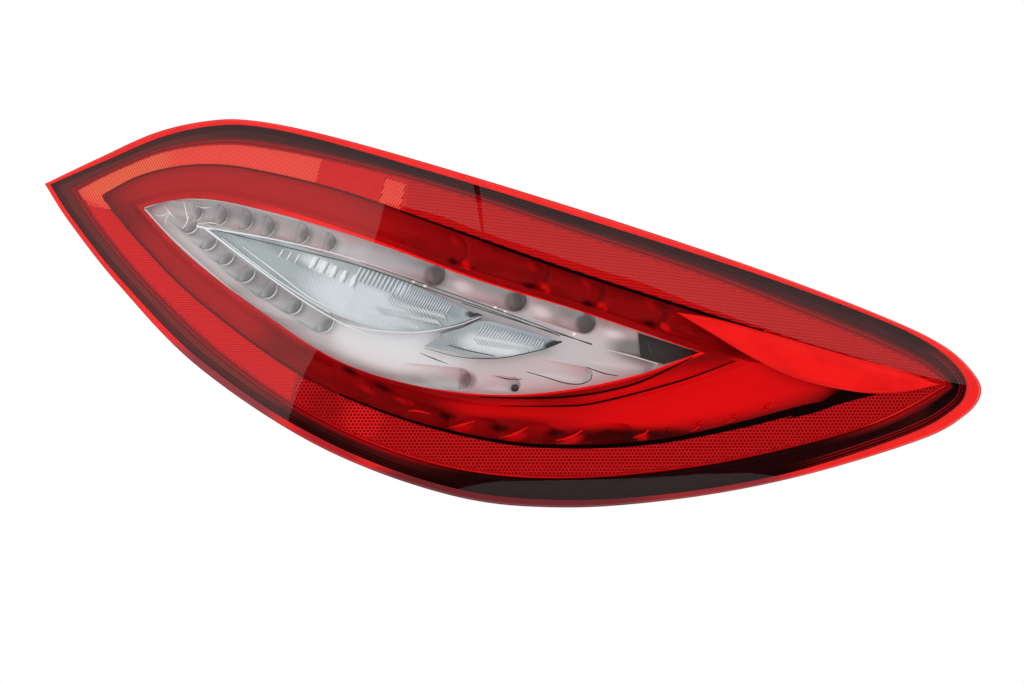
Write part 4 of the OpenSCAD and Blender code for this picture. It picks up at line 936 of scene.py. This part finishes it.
ribbons(
    "flute_shades", fan((320, 258), (360, 276), (314, 269), (354, 288), 5, 1.8)
    + fan((364, 267), (414, 284), (356, 281), (406, 299), 13, 1.4)
    + fan((399, 282), (453, 303), (391, 298), (445, 316), 24, 0.9)
    + fan((388, 299), (442, 314), (394, 306), (448, 320), 16, 0.9)
    + fan((376, 307), (436, 319), (383, 314), (443, 326), 18, 0.8)
    + fan((485, 324), (545, 341), (477, 336), (541, 348), 22, 1.0)
    + fan((474, 338), (524, 347), (480, 345), (530, 352), 15, 0.8), 6.75 * MM, M_PAINTED_SHADE_GREY)

# CAD nodes that are shown as they are
CAD_LOOKS = {
    "rear_housing": ((0.018, 0.018, 0.02), 0.5, 0.0),
    "driver_cover": ((0.03, 0.03, 0.033), 0.45, 0.0),
    "connector_socket": ((0.012, 0.012, 0.012), 0.4, 0.0),
    "body_gasket": ((0.03, 0.03, 0.03), 0.95, 0.0), "stud_seals": ((0.03, 0.03, 0.03), 0.95, 0.0),
    "vent_caps": ((0.025, 0.025, 0.025), 0.8, 0.0), "lens_seal": ((0.04, 0.04, 0.04), 0.8, 0.0),
    "cover_seal": ((0.05, 0.05, 0.05), 0.8, 0.0), "mounting_studs": ((0.62, 0.6, 0.55), 0.3, 1.0),
    "cover_screws": ((0.62, 0.62, 0.62), 0.28, 1.0), "lamp_screws": ((0.62, 0.62, 0.62), 0.28, 1.0),
    "terminals": ((0.85, 0.68, 0.35), 0.25, 1.0), "heat_sink": ((0.75, 0.76, 0.78), 0.35, 1.0),
    "middle_board": ((0.02, 0.14, 0.07), 0.4, 0.0), "tail_board": ((0.02, 0.14, 0.07), 0.4, 0.0),
    "blade_board": ((0.02, 0.14, 0.07), 0.4, 0.0), "driver_board": ((0.02, 0.14, 0.07), 0.4, 0.0),
    "tail_leds": ((0.9, 0.5, 0.4), 0.3, 0.0), "blade_leds": ((0.9, 0.5, 0.4), 0.3, 0.0),
    "driver_capacitors": ((0.1, 0.11, 0.16), 0.35, 0.0),
    "driver_chips": ((0.01, 0.01, 0.01), 0.5, 0.0), "lead_headers": ((0.8, 0.78, 0.7), 0.5, 0.0),
    "inner_leads": ((0.3, 0.01, 0.01), 0.45, 0.0)}
for name, (color, rough, metal) in CAD_LOOKS.items():
    look = material("cad_" + name, color, rough, metal, noise=0.08)
    mottle(look, tuple(min(1.0, c * 1.35) for c in color), 70, 0.38, 0.66)
    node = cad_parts[name]
    node.data.materials.clear()
    node.data.materials.append(look)


# Camera place, from far away, and the studio sphere round the lamp
DIST = 20.0
PICTURE_W, PICTURE_H, SENSOR_W, CLIP_END = 1024, 683, 36, 100
EYE = np.array([(PICTURE_W / 2 - GRID_X) * GRID, -DIST - 0.06,
                (GRID_Z - PICTURE_H / 2) * GRID])
STUDIO_R, FLAG_R = 40.0, 45.0


def mirrored(*points):
    """Azimuth and elevation, in degrees, of what the lens mirrors at places of the drawing."""
    p, e = at(*points), 0.1 * MM
    o = lift(p, 0)
    slope = [
        (face_y(p + s, 0) - face_y(p - s, 0)) / (2 * e)
        for s in (np.array([e, 0]), np.array([0, e]))]
    n = np.stack([slope[0], -np.ones(len(p)), slope[1]], 1)
    n /= np.linalg.norm(n, axis=1)[:, None]
    ray = o - EYE
    ray /= np.linalg.norm(ray, axis=1)[:, None]
    ray -= 2 * (ray * n).sum(1)[:, None] * n
    b = (o * ray).sum(1)
    far = o + ray * (np.sqrt(b * b - (o * o).sum(1) + STUDIO_R ** 2) - b)[:, None]
    angles = np.arctan2(far[:, 0], -far[:, 1]), np.arcsin(far[:, 2] / STUDIO_R)
    return np.degrees(np.stack(angles, 1))


def sky_patch(name, edge_a, edge_b, radius, color, strength=None):
    """A patch of a sphere between two edges given by azimuth and elevation."""
    cols = 12
    verts, faces = [], []
    for k in range(cols + 1):
        az, el = np.radians(edge_a + (edge_b - edge_a) * k / cols).T
        verts += list(
            np.stack([np.sin(az) * np.cos(el), -np.cos(az) * np.cos(el), np.sin(el)], 1) * radius)
    n = len(edge_a)
    for k in range(cols):
        for i in range(n - 1):
            faces.append((k * n + i, k * n + i + 1, (k + 1) * n + i + 1, (k + 1) * n + i))
    look = material(name, color, 1.0, spec=0.0, emit=((1, 1, 1), strength) if strength else None)
    obj = mesh_object(name, verts, faces, [look], None, False)
    obj.visible_camera = obj.visible_diffuse = obj.visible_shadow = False


def with_az(edge, az):
    return np.stack([np.full(len(edge), float(az)), edge[:, 1]], 1)


def with_el(edge, el):
    return np.stack([edge[:, 0], np.full(len(edge), float(el))], 1)


LEFT_EDGE = mirrored(
    (392, 155), (388, 185), (384, 208), (376, 238), (350, 300), (316, 352), (306, 371), (295, 400),
    (289, 419), (283, 438))
LEFT_EDGE = np.vstack([LEFT_EDGE[0] + (6, 30), LEFT_EDGE, LEFT_EDGE[-1] + (-12, -20)])
MID_LOW = mirrored((386, 203), (404, 207), (425, 212), (443, 217), (471, 228), (481, 232))
MID_TOP = mirrored((391, 148), (406, 150), (425, 155), (445, 160), (471, 168), (477, 172))
TOP_LOW = mirrored(
    (484, 232), (500, 238), (543, 252), (586, 266), (640, 282), (690, 302), (740, 320), (790, 337),
    (815, 345), (860, 358), (900, 370), (945, 381), (980, 388))
LOW_TOP = mirrored(
    (452, 490), (478, 484), (500, 481), (560, 480), (640, 478), (700, 474), (750, 473), (812, 480))
sky_patch("box_left", with_az(LEFT_EDGE, -80), LEFT_EDGE, STUDIO_R, (0, 0, 0), 0.72)
sky_patch("box_mid", MID_LOW, MID_TOP + (0, 12), STUDIO_R, (0, 0, 0), 0.7)
sky_patch("box_top", TOP_LOW, with_el(TOP_LOW + (4.7, 0), 60), STUDIO_R, (0, 0, 0), 0.62)
sky_patch("box_low", LOW_TOP, with_el(LOW_TOP, -75), STUDIO_R, (0, 0, 0), 0.5)
FLAG_EDGE = np.array([(-95.0, e) for e in range(-75, 80, 15)])
sky_patch("dark_flag", FLAG_EDGE, with_az(FLAG_EDGE, 95), FLAG_R, (0.01, 0.01, 0.01))


def panel(name, corners, color):
    obj = mesh_object(
        name, corners, [(0, 1, 2, 3)], [material(name, color, 1.0, spec=0.0)], None, False)
    obj.visible_glossy = False


FLOOR_X, FLOOR_FRONT, FLOOR_BACK, FLOOR_Z = 1.4, -0.36, 1.6, -0.28
panel("floor", [
    (-FLOOR_X, FLOOR_FRONT, FLOOR_Z), (FLOOR_X, FLOOR_FRONT, FLOOR_Z),
    (FLOOR_X, FLOOR_BACK, FLOOR_Z), (-FLOOR_X, FLOOR_BACK, FLOOR_Z)], (0.85, 0.85, 0.85))
world = bpy.data.worlds.new("studio")
bpy.context.scene.world = world
world.use_nodes = True
nt = world.node_tree
back = nt.nodes["Background"]
back.inputs["Strength"].default_value = 1.0
back.inputs["Color"].default_value = (1, 1, 1, 1)

# Camera along +Y from far away, 0.64 mm to a pixel at the middle stud
cam_data = bpy.data.cameras.new("camera")
cam = bpy.data.objects.new("camera", cam_data)
bpy.context.scene.collection.objects.link(cam)
cam.location = EYE
cam.rotation_euler = (math.radians(90), 0, 0)
cam_data.sensor_width = SENSOR_W
cam_data.lens = SENSOR_W * DIST / (PICTURE_W * GRID)
cam_data.clip_end = CLIP_END
bpy.context.scene.camera = cam
bpy.context.scene.view_settings.view_transform = "Standard"

bpy.context.view_layer.update()
